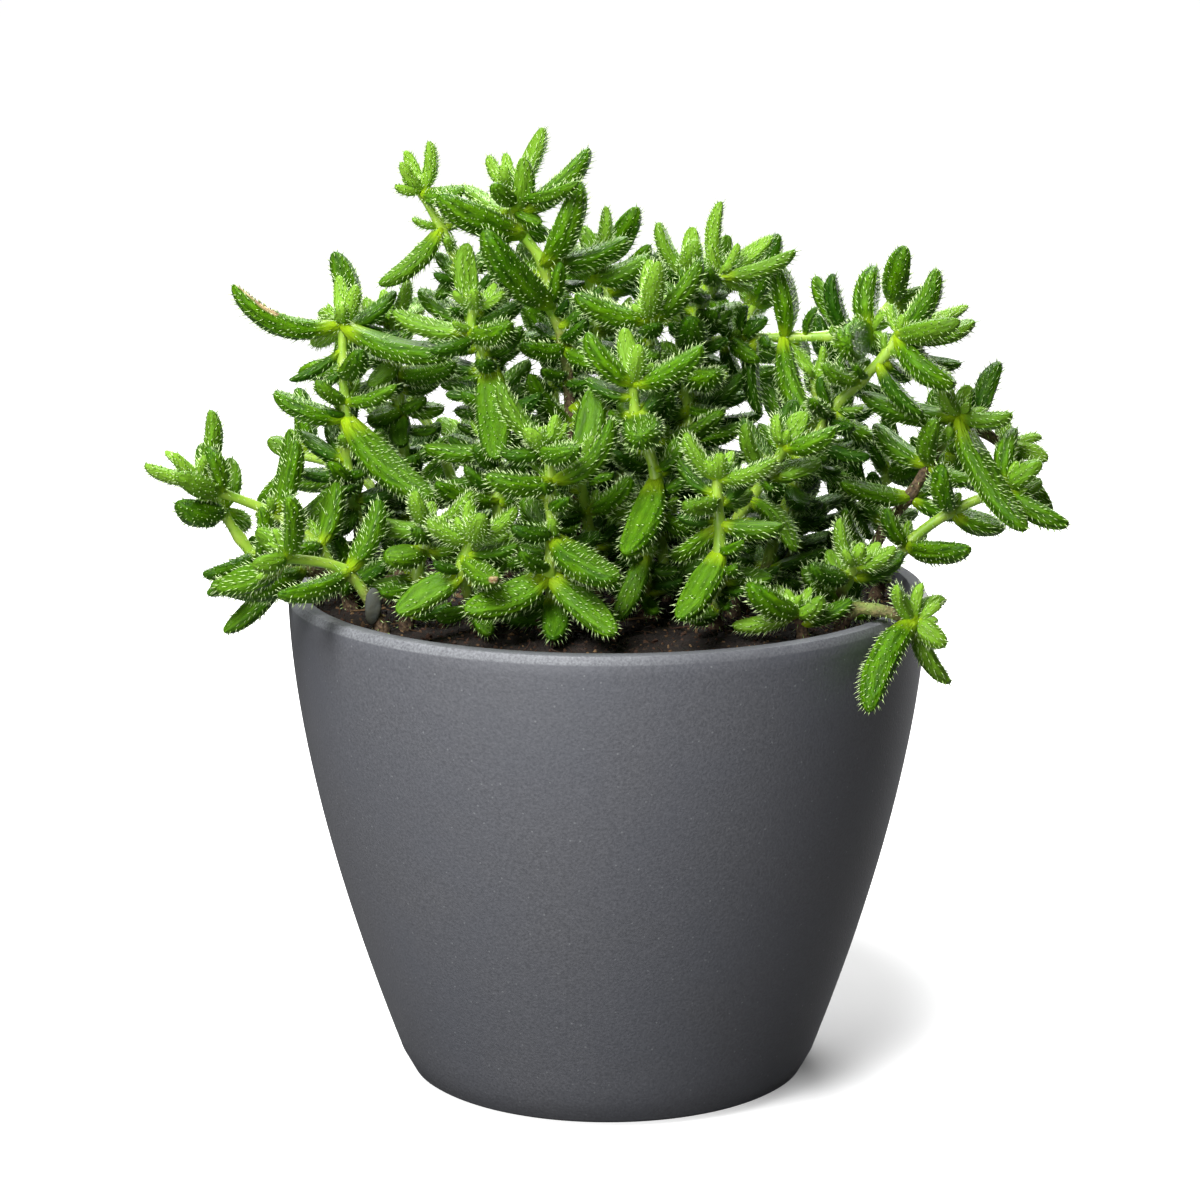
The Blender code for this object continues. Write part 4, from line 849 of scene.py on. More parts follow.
def add_node(tree, kind, inputs=None, **settings):
    """A node in a shader or geometry tree, with its settings, and its inputs linked or set."""
    made = tree.nodes.new(kind)
    for name, value in settings.items():
        setattr(made, name, value)
    for name, value in (inputs or {}).items():
        socket = made.inputs[name]
        if isinstance(value, bpy.types.NodeSocket):
            tree.links.new(value, socket)
        else:
            socket.default_value = value
    return made


def calculate(tree, operation, *values, clamp=False):
    """The result of a Math node."""
    inputs = dict(enumerate(values))
    return add_node(tree, "ShaderNodeMath", inputs, operation=operation, use_clamp=clamp).outputs[0]


def scaled(tree, value, share, clamp=False):
    """A value times a share."""
    return calculate(tree, "MULTIPLY", value, share, clamp=clamp)


def blend_colours(tree, share, first, second):
    """Two colours mixed by a share."""
    mixed = add_node(tree, "ShaderNodeMix", data_type="RGBA")
    for name, value in (("Factor", share), ("A", first), ("B", second)):
        socket = [s for s in mixed.inputs if s.name == name and s.enabled][0]
        if isinstance(value, bpy.types.NodeSocket):
            tree.links.new(value, socket)
        else:
            socket.default_value = value if name == "Factor" else (*value, 1.0)
    return [s for s in mixed.outputs if s.enabled][0]


def ramp(tree, value, low, high):
    """0 below low, 1 above high, and a soft step between."""
    inputs = {"Value": value, "From Min": low, "From Max": high}
    node = add_node(tree, "ShaderNodeMapRange", inputs, interpolation_type="SMOOTHSTEP", clamp=True)
    return node.outputs["Result"]


def stored(tree, name, output="Fac"):
    """A value stored at the points of the mesh."""
    return add_node(tree, "ShaderNodeAttribute", attribute_name=name).outputs[output]


def object_place(tree):
    """Object coordinates, in metres."""
    return tree.nodes.new("ShaderNodeTexCoord").outputs["Object"]


def shader_group(name, inputs):
    """An empty group with these named number inputs, a Place input, and a Mask output."""
    group = bpy.data.node_groups.new(name, "ShaderNodeTree")
    group.interface.new_socket("Place", in_out="INPUT", socket_type="NodeSocketVector")
    for label, value in inputs:
        socket = group.interface.new_socket(label, in_out="INPUT", socket_type="NodeSocketFloat")
        socket.default_value = value
    group.interface.new_socket("Mask", in_out="OUTPUT", socket_type="NodeSocketFloat")
    return group, group.nodes.new("NodeGroupInput").outputs, group.nodes.new("NodeGroupOutput").inputs


def make_mottle():
    """Soft patches of about this size in metres: a mask from 0 to 1, its edges sharper with contrast."""
    group, given, result = shader_group("mottle", (("Size", 0.01), ("Contrast", 1.0)))
    scale = calculate(group, "DIVIDE", 1.0, given["Size"])
    cloud = add_node(group, "ShaderNodeTexNoise", {"Vector": given["Place"], "Scale": scale, "Detail": 3.0})
    middle = calculate(group, "SUBTRACT", cloud.outputs["Fac"], 0.5)
    spread = calculate(group, "MULTIPLY", middle, given["Contrast"])
    group.links.new(calculate(group, "ADD", spread, 0.5, clamp=True), result["Mask"])
    return group


def make_flecks():
    """Small round flecks, one to a cell of this size in metres: a mask that is 1 on a fleck."""
    group, given, result = shader_group("flecks", (("Size", 0.001), ("Share", 0.3)))
    scale = calculate(group, "DIVIDE", 1.0, given["Size"])
    cells = add_node(group, "ShaderNodeTexVoronoi", {"Vector": given["Place"], "Scale": scale})
    edge = scaled(group, given["Share"], FLECK_EDGE)
    away = add_node(group, "ShaderNodeMapRange", {
        "Value": cells.outputs["Distance"], "From Min": given["Share"], "From Max": edge,
        "To Min": 1.0, "To Max": 0.0}, clamp=True)
    group.links.new(away.outputs["Result"], result["Mask"])
    return group


def use(tree, group, **inputs):
    """A shader group's mask in a material, with its own values."""
    return add_node(tree, "ShaderNodeGroup", inputs, node_tree=group).outputs["Mask"]


def new_material(name, roughness, **plain):
    """A material with its Principled shader, and the plain values set on it."""
    material = bpy.data.materials.new(name)
    material.use_nodes = True
    shader = material.node_tree.nodes["Principled BSDF"]
    shader.inputs["Roughness"].default_value = roughness
    for label, value in plain.items():
        shader.inputs[label.replace("_", " ")].default_value = value
    return material, material.node_tree, shader


def add_bump(tree, shader, height, distance, strength):
    """Bump from a height between 0 and 1, this many metres deep."""
    bump = add_node(tree, "ShaderNodeBump", {"Height": height, "Distance": distance, "Strength": strength})
    tree.links.new(bump.outputs["Normal"], shader.inputs["Normal"])


def coat(tree, shader, colour, smoothest=None, rougher=None, pattern=None):
    """Gives a shader its colour. With a pattern, its roughness rises from the smoothest by this much."""
    tree.links.new(colour, shader.inputs["Base Color"])
    if pattern is not None:
        rough = calculate(tree, "ADD", smoothest, scaled(tree, pattern, rougher))
        tree.links.new(rough, shader.inputs["Roughness"])


def planter_material(mottle, flecks):
    """Dark slate-grey matt plastic with a fine stony speckle, paler on the rim's chamfer and top: rubbed wear
    there, and a painted highlight.
    """
    material, tree, shader = new_material("planter grey", 0.55)
    place = object_place(tree)
    speckle = use(tree, mottle, Place=place, Size=0.0006, Contrast=2.2)
    cloud = use(tree, mottle, Place=place, Size=0.022, Contrast=2.2)
    spots = use(tree, flecks, Place=place, Size=0.0026, Share=0.07)
    grey = blend_colours(tree, speckle, PLANTER_DARK, PLANTER_LIGHT)
    grey = blend_colours(tree, scaled(tree, cloud, CLOUD_SHARE), grey, PLANTER_BLUE)
    grey = blend_colours(tree, scaled(tree, spots, SPECKLE_SHARE), grey, PLANTER_FLECK)
    height = add_node(tree, "ShaderNodeSeparateXYZ", {"Vector": place}).outputs["Z"]
    low, high = (CHAMFER_FOOT - CHAMFER_FADE) * MM, CHAMFER_FOOT * MM
    # The rim's chamfer and top are painted paler in patches: rubbed wear, and a painted highlight where light
    # catches the rim.
    fine = calculate(tree, "ADD", use(tree, mottle, Place=place, Size=0.0005, Contrast=3.0), LEAST_FINE_WEAR)
    wide = calculate(tree, "ADD", use(tree, mottle, Place=place, Size=0.03, Contrast=3.0), LEAST_WIDE_WEAR)
    worn = scaled(tree, scaled(tree, ramp(tree, height, low, high), fine), wide)
    worn = scaled(tree, scaled(tree, worn, stored(tree, "outside")), RUBBED_SHARE, clamp=True)
    coat(tree, shader, blend_colours(tree, worn, grey, PLANTER_RUBBED),
         smoothest=0.5, rougher=0.14, pattern=speckle)
    add_bump(tree, shader, speckle, distance=0.00006, strength=0.7)
    return material


def soil_material(mottle, flecks):
    """Dark potting mix, with redder and paler grains."""
    material, tree, shader = new_material("potting soil", 0.92)
    place = object_place(tree)
    patch = use(tree, mottle, Place=place, Size=0.006, Contrast=2.0)
    grain = use(tree, mottle, Place=place, Size=0.0011, Contrast=2.6)
    pale = use(tree, flecks, Place=place, Size=0.0032, Share=0.16)
    brown = blend_colours(tree, patch, SOIL_BLACK, SOIL_BROWN)
    brown = blend_colours(tree, scaled(tree, grain, RED_GRAIN_SHARE), brown, SOIL_RED)
    coat(tree, shader, blend_colours(tree, scaled(tree, pale, PALE_GRAIN_SHARE), brown, SOIL_PALE))
    add_bump(tree, shader, grain, distance=0.0004, strength=0.8)
    return material


def litter_material(mottle):
    """Crumbs, root fibres and twigs: browns from nearly black to straw, by each one's own tint."""
    material, tree, shader = new_material("dry litter", 0.85)
    tint = stored(tree, "tint")
    grain = use(tree, mottle, Place=object_place(tree), Size=0.0008, Contrast=2.0)
    brown = blend_colours(tree, ramp(tree, tint, *RED_TINTS), LITTER_DARK, LITTER_RED)
    brown = blend_colours(tree, ramp(tree, tint, *STRAW_TINTS), brown, LITTER_STRAW)
    coat(tree, shader, blend_colours(tree, scaled(tree, grain, LITTER_GRAIN_SHARE), brown, LITTER_DARK))
    add_bump(tree, shader, grain, distance=0.0002, strength=0.6)
    return material


def leaf_material(mottle, flecks):
    """Leaf skin: deep green with dark lengthwise wrinkles, a painted shade in the grooves between its ridges,
    and pale pores; yellower at the neck, with a painted glow there, and a painted sheen on the upper side.
    Young leaves, whose youth value is above 0, are paler; where it is below 0, a leaf is darkened with
    painted shade, as deep in the plant; and a dry end is tan."""
    material, tree, shader = new_material(
        "leaf green", 0.5, Subsurface_Weight=0.1, Subsurface_Scale=0.0015, Specular_IOR_Level=0.14,
        Subsurface_Radius=(0.5, 1.0, 0.2))
    place, youth, dry = object_place(tree), stored(tree, "youth"), stored(tree, "dry")
    streaks = use(tree, mottle, Place=stored(tree, "skin", "Vector"), Size=0.0012, Contrast=2.7)
    # Painted shade in the grooves between a leaf's ridges, on top of its dark wrinkle streaks.
    flat = calculate(tree, "SUBTRACT", 1.0, stored(tree, "ridge"))
    wrinkle = scaled(tree, calculate(tree, "ADD", streaks, flat), WRINKLE_DEPTH, clamp=True)
    patches = use(tree, mottle, Place=place, Size=0.006, Contrast=2.2)
    green = blend_colours(tree, stored(tree, "tint"), LEAF_DEEP, LEAF_MIDDLE)
    # Painted sheen: a greyer green on each leaf's upper side.
    dull = scaled(tree, ramp(tree, stored(tree, "upper"), *UPPER_FADE), DULL_SHARE)
    # The neck: its own yellower green, with a painted glow of light shining through it.
    neck = scaled(tree, ramp(tree, stored(tree, "along"), *NECK_COLOUR_FADE), NECK_COLOUR_SHARE)
    pores = use(tree, flecks, Place=place, Size=0.0011, Share=0.13)
    # Over the green, in turn: bright patches, dark wrinkles with painted groove shade, painted sheen above,
    # pale young green, painted shade on leaves deep in the plant, the neck's colour with its painted glow,
    # and pale pores.
    for share, colour in (
            (scaled(tree, patches, BRIGHT_SHARE), LEAF_BRIGHT), (wrinkle, LEAF_DARK), (dull, LEAF_DULL),
            (scaled(tree, youth, YOUNG_SHARE, clamp=True), LEAF_YOUNG),
            (scaled(tree, youth, -OLD_SHARE, clamp=True), LEAF_OLD), (neck, LEAF_NECK),
            (scaled(tree, pores, PORE_SHARE), LEAF_PORE)):
        green = blend_colours(tree, share, green, colour)
    ragged = calculate(tree, "ADD", dry, scaled(tree, patches, RAGGED_SHARE))
    scar = ramp(tree, scaled(tree, ragged, dry), *SCAR_FADE)
    green = blend_colours(tree, scar, green, blend_colours(tree, streaks, DRY_TAN, DRY_BROWN))
    coat(tree, shader, green, smoothest=0.42, rougher=0.16, pattern=patches)
    add_bump(tree, shader, calculate(tree, "SUBTRACT", 1.0, streaks), distance=0.0004, strength=0.9)
    return material


def stem_material(mottle):
    """Stems: yellow-green and faintly ribbed, turning to brown bark where they are old."""
    material, tree, shader = new_material(
        "stem skin", 0.45, Subsurface_Weight=0.1, Subsurface_Scale=0.002, Subsurface_Radius=(0.6, 1.0, 0.2))
    place = object_place(tree)
    patches = use(tree, mottle, Place=place, Size=0.004, Contrast=2.0)
    grain = use(tree, mottle, Place=place, Size=0.0007, Contrast=2.6)
    green = blend_colours(tree, patches, STEM_GREEN, STEM_YELLOW)
    bark = blend_colours(tree, grain, BARK_DARK, BARK_PALE)
    patchy = calculate(tree, "ADD", stored(tree, "wood"), scaled(tree, patches, PATCHY_SHARE))
    old = ramp(tree, patchy, *BARK_FADE_IN)
    coat(tree, shader, blend_colours(tree, old, green, bark), smoothest=0.4, rougher=0.4, pattern=old)
    add_bump(tree, shader, scaled(tree, grain, old), distance=0.0004, strength=0.8)
    return material


def bristle_material():
    """Bristles: leaf green at the foot, a pale, milky green from there up, and darkened with painted shade on
    leaves deep in the plant.
    """
    material, tree, shader = new_material("bristle pale", 0.6, Specular_IOR_Level=0.25)
    youth = stored(tree, "youth")
    foot = blend_colours(tree, scaled(tree, youth, 1.0, clamp=True), BRISTLE_FOOT, LEAF_YOUNG)
    pale = blend_colours(tree, ramp(tree, stored(tree, "rise"), *BRISTLE_FOOT_FADE), foot, BRISTLE_WHITE)
    # Painted shade: bristles on leaves that are darkened as deep in the plant are darkened too.
    old = scaled(tree, youth, -OLD_BRISTLE_SHARE, clamp=True)
    coat(tree, shader, blend_colours(tree, old, pale, BRISTLE_OLD))
    return material


def old_leaf_material(mottle):
    """A dead leaf: dull grey-green going brown."""
    material, tree, shader = new_material("old leaf grey", 0.75)
    patches = use(tree, mottle, Place=object_place(tree), Size=0.0025, Contrast=2.5)
    coat(tree, shader, blend_colours(tree, patches, OLD_LEAF_GREY, OLD_LEAF_BROWN))
    add_bump(tree, shader, patches, distance=0.0003, strength=0.6)
    return material


# Geometry Nodes.


def growing_tree(name, inputs):
    """An empty geometry tree with a geometry input and output and these named inputs, (name, kind, value)."""
    tree = bpy.data.node_groups.new(name, "GeometryNodeTree")
    tree.interface.new_socket("Geometry", in_out="INPUT", socket_type="NodeSocketGeometry")
    for label, kind, value in inputs:
        socket = tree.interface.new_socket(label, in_out="INPUT", socket_type="NodeSocket" + kind)
        if value is not None:
            socket.default_value = value
    tree.interface.new_socket("Geometry", in_out="OUTPUT", socket_type="NodeSocketGeometry")
    return tree, tree.nodes.new("NodeGroupInput").outputs, tree.nodes.new("NodeGroupOutput").inputs


def grow(tree, source, name, **values):
    """A plain mesh object of this name: what the tree makes of the source item, which is then removed."""
    modifier = source.modifiers.new(name, "NODES")
    modifier.node_group = tree
    for item in tree.interface.items_tree:
        label = item.name.replace(" ", "_")
        if item.in_out == "INPUT" and label in values:
            modifier[item.identifier] = values[label]
    apply_modifiers(source)
    source.data.name = name
    made = add_item(name, source.data)
    bpy.data.objects.remove(source)
    return made


def read_value(tree, name, kind="FLOAT"):
    """A value stored at the points of the mesh, in a geometry tree."""
    made = add_node(tree, "GeometryNodeInputNamedAttribute", {"Name": name}, data_type=kind)
    return made.outputs["Attribute"]


def store_value(tree, geometry, name, value, domain="POINT"):
    """The geometry with a value stored on it."""
    inputs = {"Geometry": geometry, "Name": name, "Value": value}
    return add_node(
        tree, "GeometryNodeStoreNamedAttribute", inputs, data_type="FLOAT", domain=domain).outputs["Geometry"]


def vector_math(tree, operation, *values, output="Vector", **named):
    """The result of a Vector Math node."""
    inputs = dict(enumerate(values))
    inputs.update(named)
    return add_node(tree, "ShaderNodeVectorMath", inputs, operation=operation).outputs[output]


def random_value(tree, low, high, seed):
    """A random number for each point, or a random vector, between two values."""
    kind = "FLOAT_VECTOR" if isinstance(low, tuple) else "FLOAT"
    made = add_node(tree, "FunctionNodeRandomValue", data_type=kind)
    for socket, value in zip([s for s in made.inputs if s.enabled], (low, high)):
        socket.default_value = value
    tree.links.new(seed, made.inputs["Seed"])
    return [s for s in made.outputs if s.enabled][0]


def random_turn(tree, low, high, seed):
    """A random rotation for each point, between two sets of angles."""
    angles = random_value(tree, low, high, seed)
    return add_node(tree, "FunctionNodeEulerToRotation", {0: angles}).outputs[0]


def end_tree(tree, shape, material, result):
    """Ends a tree with its instances made real, in their material."""
    real = add_node(tree, "GeometryNodeRealizeInstances", {"Geometry": shape}).outputs[0]
    dressed = add_node(tree, "GeometryNodeSetMaterial", {"Geometry": real, "Material": material})
    tree.links.new(dressed.outputs[0], result["Geometry"])


def make_bristle_tree():
    """Bristles on a skin: short stout hairs, set apart evenly and leaning to the leaf's end."""
    tree, given, result = growing_tree("bristles", (
        ("Spacing", "Float", 0.00098), ("Length", "Float", 0.0017), ("Thickness", "Float", 0.00015),
        ("Lean", "Float", 0.95), ("Seed", "Int", 1), ("Material", "Material", None)))
    hair = add_node(tree, "GeometryNodeMeshCone", {
        "Vertices": 3, "Side Segments": 1, "Radius Top": 0.0, "Radius Bottom": given["Thickness"],
        "Depth": given["Length"]}, fill_type="NGON").outputs["Mesh"]
    place = tree.nodes.new("GeometryNodeInputPosition").outputs[0]
    height = add_node(tree, "ShaderNodeSeparateXYZ", {0: place}).outputs["Z"]
    rise = calculate(tree, "DIVIDE", height, given["Length"], clamp=True)
    shape = store_value(tree, hair, "rise", rise)
    shape = add_node(tree, "GeometryNodeSetShadeSmooth", {"Geometry": shape}).outputs[0]
    spread = add_node(tree, "GeometryNodeDistributePointsOnFaces", {
        "Mesh": given["Geometry"], "Distance Min": given["Spacing"], "Density Max": BRISTLE_DENSITY,
        "Density Factor": read_value(tree, "bristly"), "Seed": given["Seed"]},
        distribute_method="POISSON")
    lean = vector_math(tree, "SCALE", read_value(tree, "toward", "FLOAT_VECTOR"), Scale=given["Lean"])
    way = vector_math(tree, "ADD", spread.outputs["Normal"], lean)
    stray = random_value(tree, (-BRISTLE_STRAY,) * 3, (BRISTLE_STRAY,) * 3, given["Seed"])
    way = vector_math(tree, "ADD", way, stray)
    turn = add_node(tree, "FunctionNodeAlignRotationToVector", {"Vector": way}, axis="Z").outputs["Rotation"]
    size = scaled(tree, random_value(tree, *BRISTLE_SIZES, given["Seed"]), read_value(tree, "shag"))
    placed = add_node(tree, "GeometryNodeInstanceOnPoints", {
        "Points": spread.outputs["Points"], "Instance": shape, "Rotation": turn,
        "Scale": size}).outputs["Instances"]
    end_tree(tree, placed, given["Material"], result)
    return tree


def make_stem_tree():
    """Round stems swept along lines, as thick at each point as its stored thickness says."""
    tree, given, result = growing_tree("stems", (("Sides", "Int", 8), ("Material", "Material", None)))
    line = add_node(tree, "GeometryNodeMeshToCurve", {"Mesh": given["Geometry"]}).outputs["Curve"]
    thick = read_value(tree, "thickness")
    line = add_node(tree, "GeometryNodeSetCurveRadius", {"Curve": line, "Radius": thick}).outputs["Curve"]
    outline = add_node(tree, "GeometryNodeCurvePrimitiveCircle", {
        "Resolution": given["Sides"], "Radius": 1.0}).outputs["Curve"]
    sweep = add_node(tree, "GeometryNodeCurveToMesh", {
        "Curve": line, "Profile Curve": outline, "Fill Caps": True})
    if "Scale" in sweep.inputs:
        tree.links.new(thick, sweep.inputs["Scale"])
    smooth = add_node(tree, "GeometryNodeSetShadeSmooth", {"Geometry": sweep.outputs[0]}).outputs[0]
    end_tree(tree, smooth, given["Material"], result)
    return tree


def crumbs_on(tree, given):
    """Crumbs on the soil's top: small balls, each stretched and turned its own way."""
    ball = add_node(
        tree, "GeometryNodeMeshIcoSphere", {"Radius": given["Crumb size"], "Subdivisions": 1}).outputs["Mesh"]
    strewn = add_node(tree, "GeometryNodeDistributePointsOnFaces", {
        "Mesh": given["Geometry"], "Distance Min": given["Crumb spacing"], "Density Max": CRUMB_DENSITY,
        "Density Factor": read_value(tree, "top"), "Seed": given["Seed"]}, distribute_method="POISSON")
    return add_node(tree, "GeometryNodeInstanceOnPoints", {
        "Points": strewn.outputs["Points"], "Instance": ball,
        "Rotation": random_turn(tree, (-math.pi,) * 3, (math.pi,) * 3, given["Seed"]),
        "Scale": random_value(tree, *CRUMB_STRETCH, given["Seed"])}).outputs["Instances"]


def fibres_on(tree, given):
    """Curved fibres that lie every way on the soil, clear of the planter's wall."""
    arc = add_node(tree, "GeometryNodeCurveArc", {
        "Resolution": 6, "Radius": given["Fibre length"], "Sweep Angle": FIBRE_CURL}).outputs["Curve"]
    outline = add_node(tree, "GeometryNodeCurvePrimitiveCircle", {
        "Resolution": 3, "Radius": given["Fibre thickness"]}).outputs["Curve"]
    fibre = add_node(tree, "GeometryNodeCurveToMesh", {
        "Curve": arc, "Profile Curve": outline, "Fill Caps": True}).outputs["Mesh"]
    back = scaled(tree, given["Fibre length"], -1.0)
    middle = add_node(tree, "ShaderNodeCombineXYZ", {"X": back}).outputs[0]
    fibre = add_node(tree, "GeometryNodeTransform", {"Geometry": fibre, "Translation": middle}).outputs[0]
    thrown = add_node(tree, "GeometryNodeDistributePointsOnFaces", {
        "Mesh": given["Geometry"], "Density": given["Fibre density"],
        "Seed": calculate(tree, "ADD", given["Seed"], FIBRE_SEED_STEP)}, distribute_method="RANDOM")
    inside = add_node(
        tree, "FunctionNodeCompare", {0: read_value(tree, "inset"), 1: given["Clearance"]},
        data_type="FLOAT", operation="GREATER_THAN").outputs[0]
    return add_node(tree, "GeometryNodeInstanceOnPoints", {
        "Points": thrown.outputs["Points"], "Instance": fibre, "Selection": inside,
        "Rotation": random_turn(tree, *FIBRE_TURNS, given["Seed"]),
        "Scale": random_value(tree, *FIBRE_SIZES, given["Seed"])}).outputs["Instances"]


def make_litter_tree():
    """Litter strewn over the soil: crumbs and fibres, each with a random tint."""
    tree, given, result = growing_tree("litter", (
        ("Crumb spacing", "Float", 0.0018), ("Crumb size", "Float", 0.0004), ("Clearance", "Float", 0.003),
        ("Fibre density", "Float", 40000.0), ("Fibre length", "Float", 0.004),
        ("Fibre thickness", "Float", 0.00013), ("Seed", "Int", 3), ("Material", "Material", None)))
    both = add_node(tree, "GeometryNodeJoinGeometry")
    for litter in (crumbs_on(tree, given), fibres_on(tree, given)):
        tree.links.new(litter, both.inputs[0])
    tint = random_value(tree, 0.0, 1.0, given["Seed"])
    end_tree(tree, store_value(tree, both.outputs[0], "tint", tint, "INSTANCE"), given["Material"], result)
    return tree


# The planter and the soil.


def turned(profile, sides):
    """A solid turned about Z from a profile of (radius, height) points that starts and ends on the axis."""
    shape = bmesh.new()
    points = [shape.verts.new((radius, 0, height)) for radius, height in profile]
    edges = [shape.edges.new(pair) for pair in zip(points, points[1:])]
    bmesh.ops.spin(
        shape, geom=points + edges, cent=(0, 0, 0), axis=(0, 0, 1), angle=2 * math.pi, steps=sides)
    bmesh.ops.remove_doubles(shape, verts=shape.verts, dist=0.001)
    return shape


def solid_item(name, shape, material):
    """An object of this name with a finished bmesh in it, scaled to metres."""
    mesh = bpy.data.meshes.new(name)
    bmesh.ops.transform(shape, matrix=Matrix.Scale(MM, 4), verts=shape.verts)
    bmesh.ops.recalc_face_normals(shape, faces=shape.faces)
    shape.to_mesh(mesh)
    shape.free()
    if material:
        mesh.materials.append(material)
    return add_item(name, mesh)


def ring(radius, height, sides):
    """The points of a level ring round the planter's axis."""
    angles = [2 * math.pi * k / sides for k in range(sides)]
    return [(radius * math.cos(a), radius * math.sin(a), height) for a in angles]


def cubic(points, t):
    """A point on a cubic Bezier curve."""
    weights = ((1 - t) ** 3, 3 * t * (1 - t) ** 2, 3 * t * t * (1 - t), t**3)
    return tuple(sum(w * p[axis] for w, p in zip(weights, points)) for axis in (0, 1))


def outer_profile():
    """The planter's outside from the edge of its foot up to the rim."""
    turns = [math.radians(FOOT_FILLET_END) * k / FILLET_STEPS for k in range(FILLET_STEPS + 1)]
    fillet = [(FOOT_RADIUS + FOOT_FILLET * math.sin(a), FOOT_FILLET * (1 - math.cos(a))) for a in turns]
    return fillet + [cubic(WALL_CURVE, k / WALL_STEPS) for k in range(WALL_STEPS + 1)]


def inner_profile():
    """The planter's inside from the rim down to its floor."""
    wall = [cubic(WALL_CURVE, 1 - k / WALL_STEPS) for k in range(1, WALL_STEPS)]
    corner = (FOOT_RADIUS + FLOOR_FILLET, BASE_THICKNESS + FLOOR_FILLET)
    clear = corner[1] + FLOOR_CORNER_CLEAR
    wall = [(radius - WALL, height) for radius, height in wall if height > clear]
    return wall + [corner, (FOOT_RADIUS, BASE_THICKNESS)]


def rim_profile():
    """The rim: a chamfer outside, a flat top, and small rounds where they meet."""
    inner, outer = RIM_RADIUS - WALL, RIM_RADIUS - RIM_CHAMFER
    return [
        (outer + RIM_EDGE * 0.3, POT_HEIGHT - RIM_EDGE * 0.5), (outer - RIM_EDGE, POT_HEIGHT),
        (inner + RIM_EDGE, POT_HEIGHT), (inner + RIM_EDGE * 0.3, POT_HEIGHT - RIM_EDGE * 0.3),
        (inner, POT_HEIGHT - RIM_EDGE)]


def cut(item, cutter):
    """Takes the cutter out of the item, and removes the cutter."""
    modifier = item.modifiers.new("cut", "BOOLEAN")
    modifier.operation = "DIFFERENCE"
    modifier.solver = "EXACT"
    modifier.object = cutter
    apply_modifiers(item)
    bpy.data.objects.remove(cutter)


def upright_rods(places, radius, low, high, sides):
    """Upright rods at these (x, y) places, in one mesh."""
    shape = bmesh.new()
    for x, y in places:
        place = Matrix.Translation((x, y, (low + high) / 2))
        bmesh.ops.create_cone(
            shape, cap_ends=True, matrix=place, segments=sides, radius1=radius, radius2=radius,
            depth=high - low)
    return shape


def make_pot(material):
    """The planter: a rounded, tapering wall, a chamfered rim, and a flat foot with drain holes."""
    profile = [(0, 0)] + outer_profile() + rim_profile() + inner_profile() + [(0, BASE_THICKNESS)]
    pot = solid_item("planter", turned(profile, TURNED_SIDES), material)
    drains = [(x, y) for x, y, _ in ring(DRAIN_CIRCLE, 0, DRAIN_COUNT)]
    rods = upright_rods(drains, DRAIN_RADIUS, -BASE_THICKNESS, 2 * BASE_THICKNESS, DRAIN_SIDES)
    cut(pot, solid_item("drains", rods, None))
    pot.data.shade_smooth()
    pot.data.set_sharp_from_angle(angle=math.radians(SHARP_ANGLE))
    # "outside" marks where the rim is painted paler for wear and a painted highlight: fully on the chamfer,
    # partly on the top.
    places = np.array([v.co for v in pot.data.vertices]) / MM
    across = np.hypot(places[:, 0], places[:, 1])
    outside = (across > RIM_RADIUS - RIM_CHAMFER - RIM_EDGE).astype(float)
    set_values(pot, "outside", np.where(places[:, 2] > POT_HEIGHT - RIM_EDGE / 4, RIM_TOP_WEAR, outside))
    show(pot, "planter", "pot")


def soil_top():
    """The points of the soil's lumpy top: its middle, and rings round it."""
    points = [(0, 0, soil_height(0, 0))]
    for r in np.linspace(0, SOIL_RADIUS, SOIL_RINGS + 1)[1:]:
        points += ring(r, soil_height(r, 0), SOIL_SIDES)
    shift = Vector((SOIL_SEED, 0, 0))
    for k, (x, y, z) in enumerate(points):
        place = Vector((x, y, 0))
        lumps = sum(depth * noise.noise(place / size + shift) for size, depth in SOIL_LUMPS)
        points[k] = (x, y, z + lumps)
    return points


def soil_sides():
    """The points of the soil's wall and foot, in rings from the top down, a fit gap inside the planter."""
    top = SOIL_EDGE - SOIL_TOP_CLEAR
    side = [(radius - FIT_GAP, height) for radius, height in inner_profile() if height < top]
    side = side[:-2:SOIL_SIDE_SKIP] + side[-2:]
    side[-1] = (side[-1][0], BASE_THICKNESS + FIT_GAP)
    return [point for radius, height in side for point in ring(radius, height, SOIL_SIDES)]


def make_soil(material):
    """The soil: a body of grains that fills the planter almost to its rim. Gives its item."""
    top = soil_top()
    points = top + soil_sides()
    rings = (len(points) - 1) // SOIL_SIDES
    faces = []
    for k in range(SOIL_SIDES):
        after = (k + 1) % SOIL_SIDES
        faces.append((0, 1 + k, 1 + after))
        for r in range(rings - 1):
            near, far = 1 + r * SOIL_SIDES, 1 + (r + 1) * SOIL_SIDES
            faces.append((near + k, far + k, far + after, near + after))
    last = 1 + (rings - 1) * SOIL_SIDES
    faces.append(tuple(last + k for k in reversed(range(SOIL_SIDES))))
    soil = mesh_object("potting_soil", points, faces, material)
    below = len(points) - len(top)
    set_values(soil, "top", [1.0] * (len(top) - SOIL_SIDES) + [0.0] * (SOIL_SIDES + below))
    inset = [(SOIL_RADIUS - math.hypot(x, y)) * MM for x, y, _ in top]
    set_values(soil, "inset", inset + [-1.0] * below)
    show(soil, "soil", "soil")
    return soil


def strew_litter(soil, material):
    """Crumbs, fibres and twigs on the soil."""
    for name, seed, sizes in LITTER:
        ground = add_item(name + "_ground", soil.data.copy())
        litter = grow(make_litter_tree(), ground, name, Seed=seed, Material=material, **sizes)
        show(litter, "soil")


# The stems and leaves.


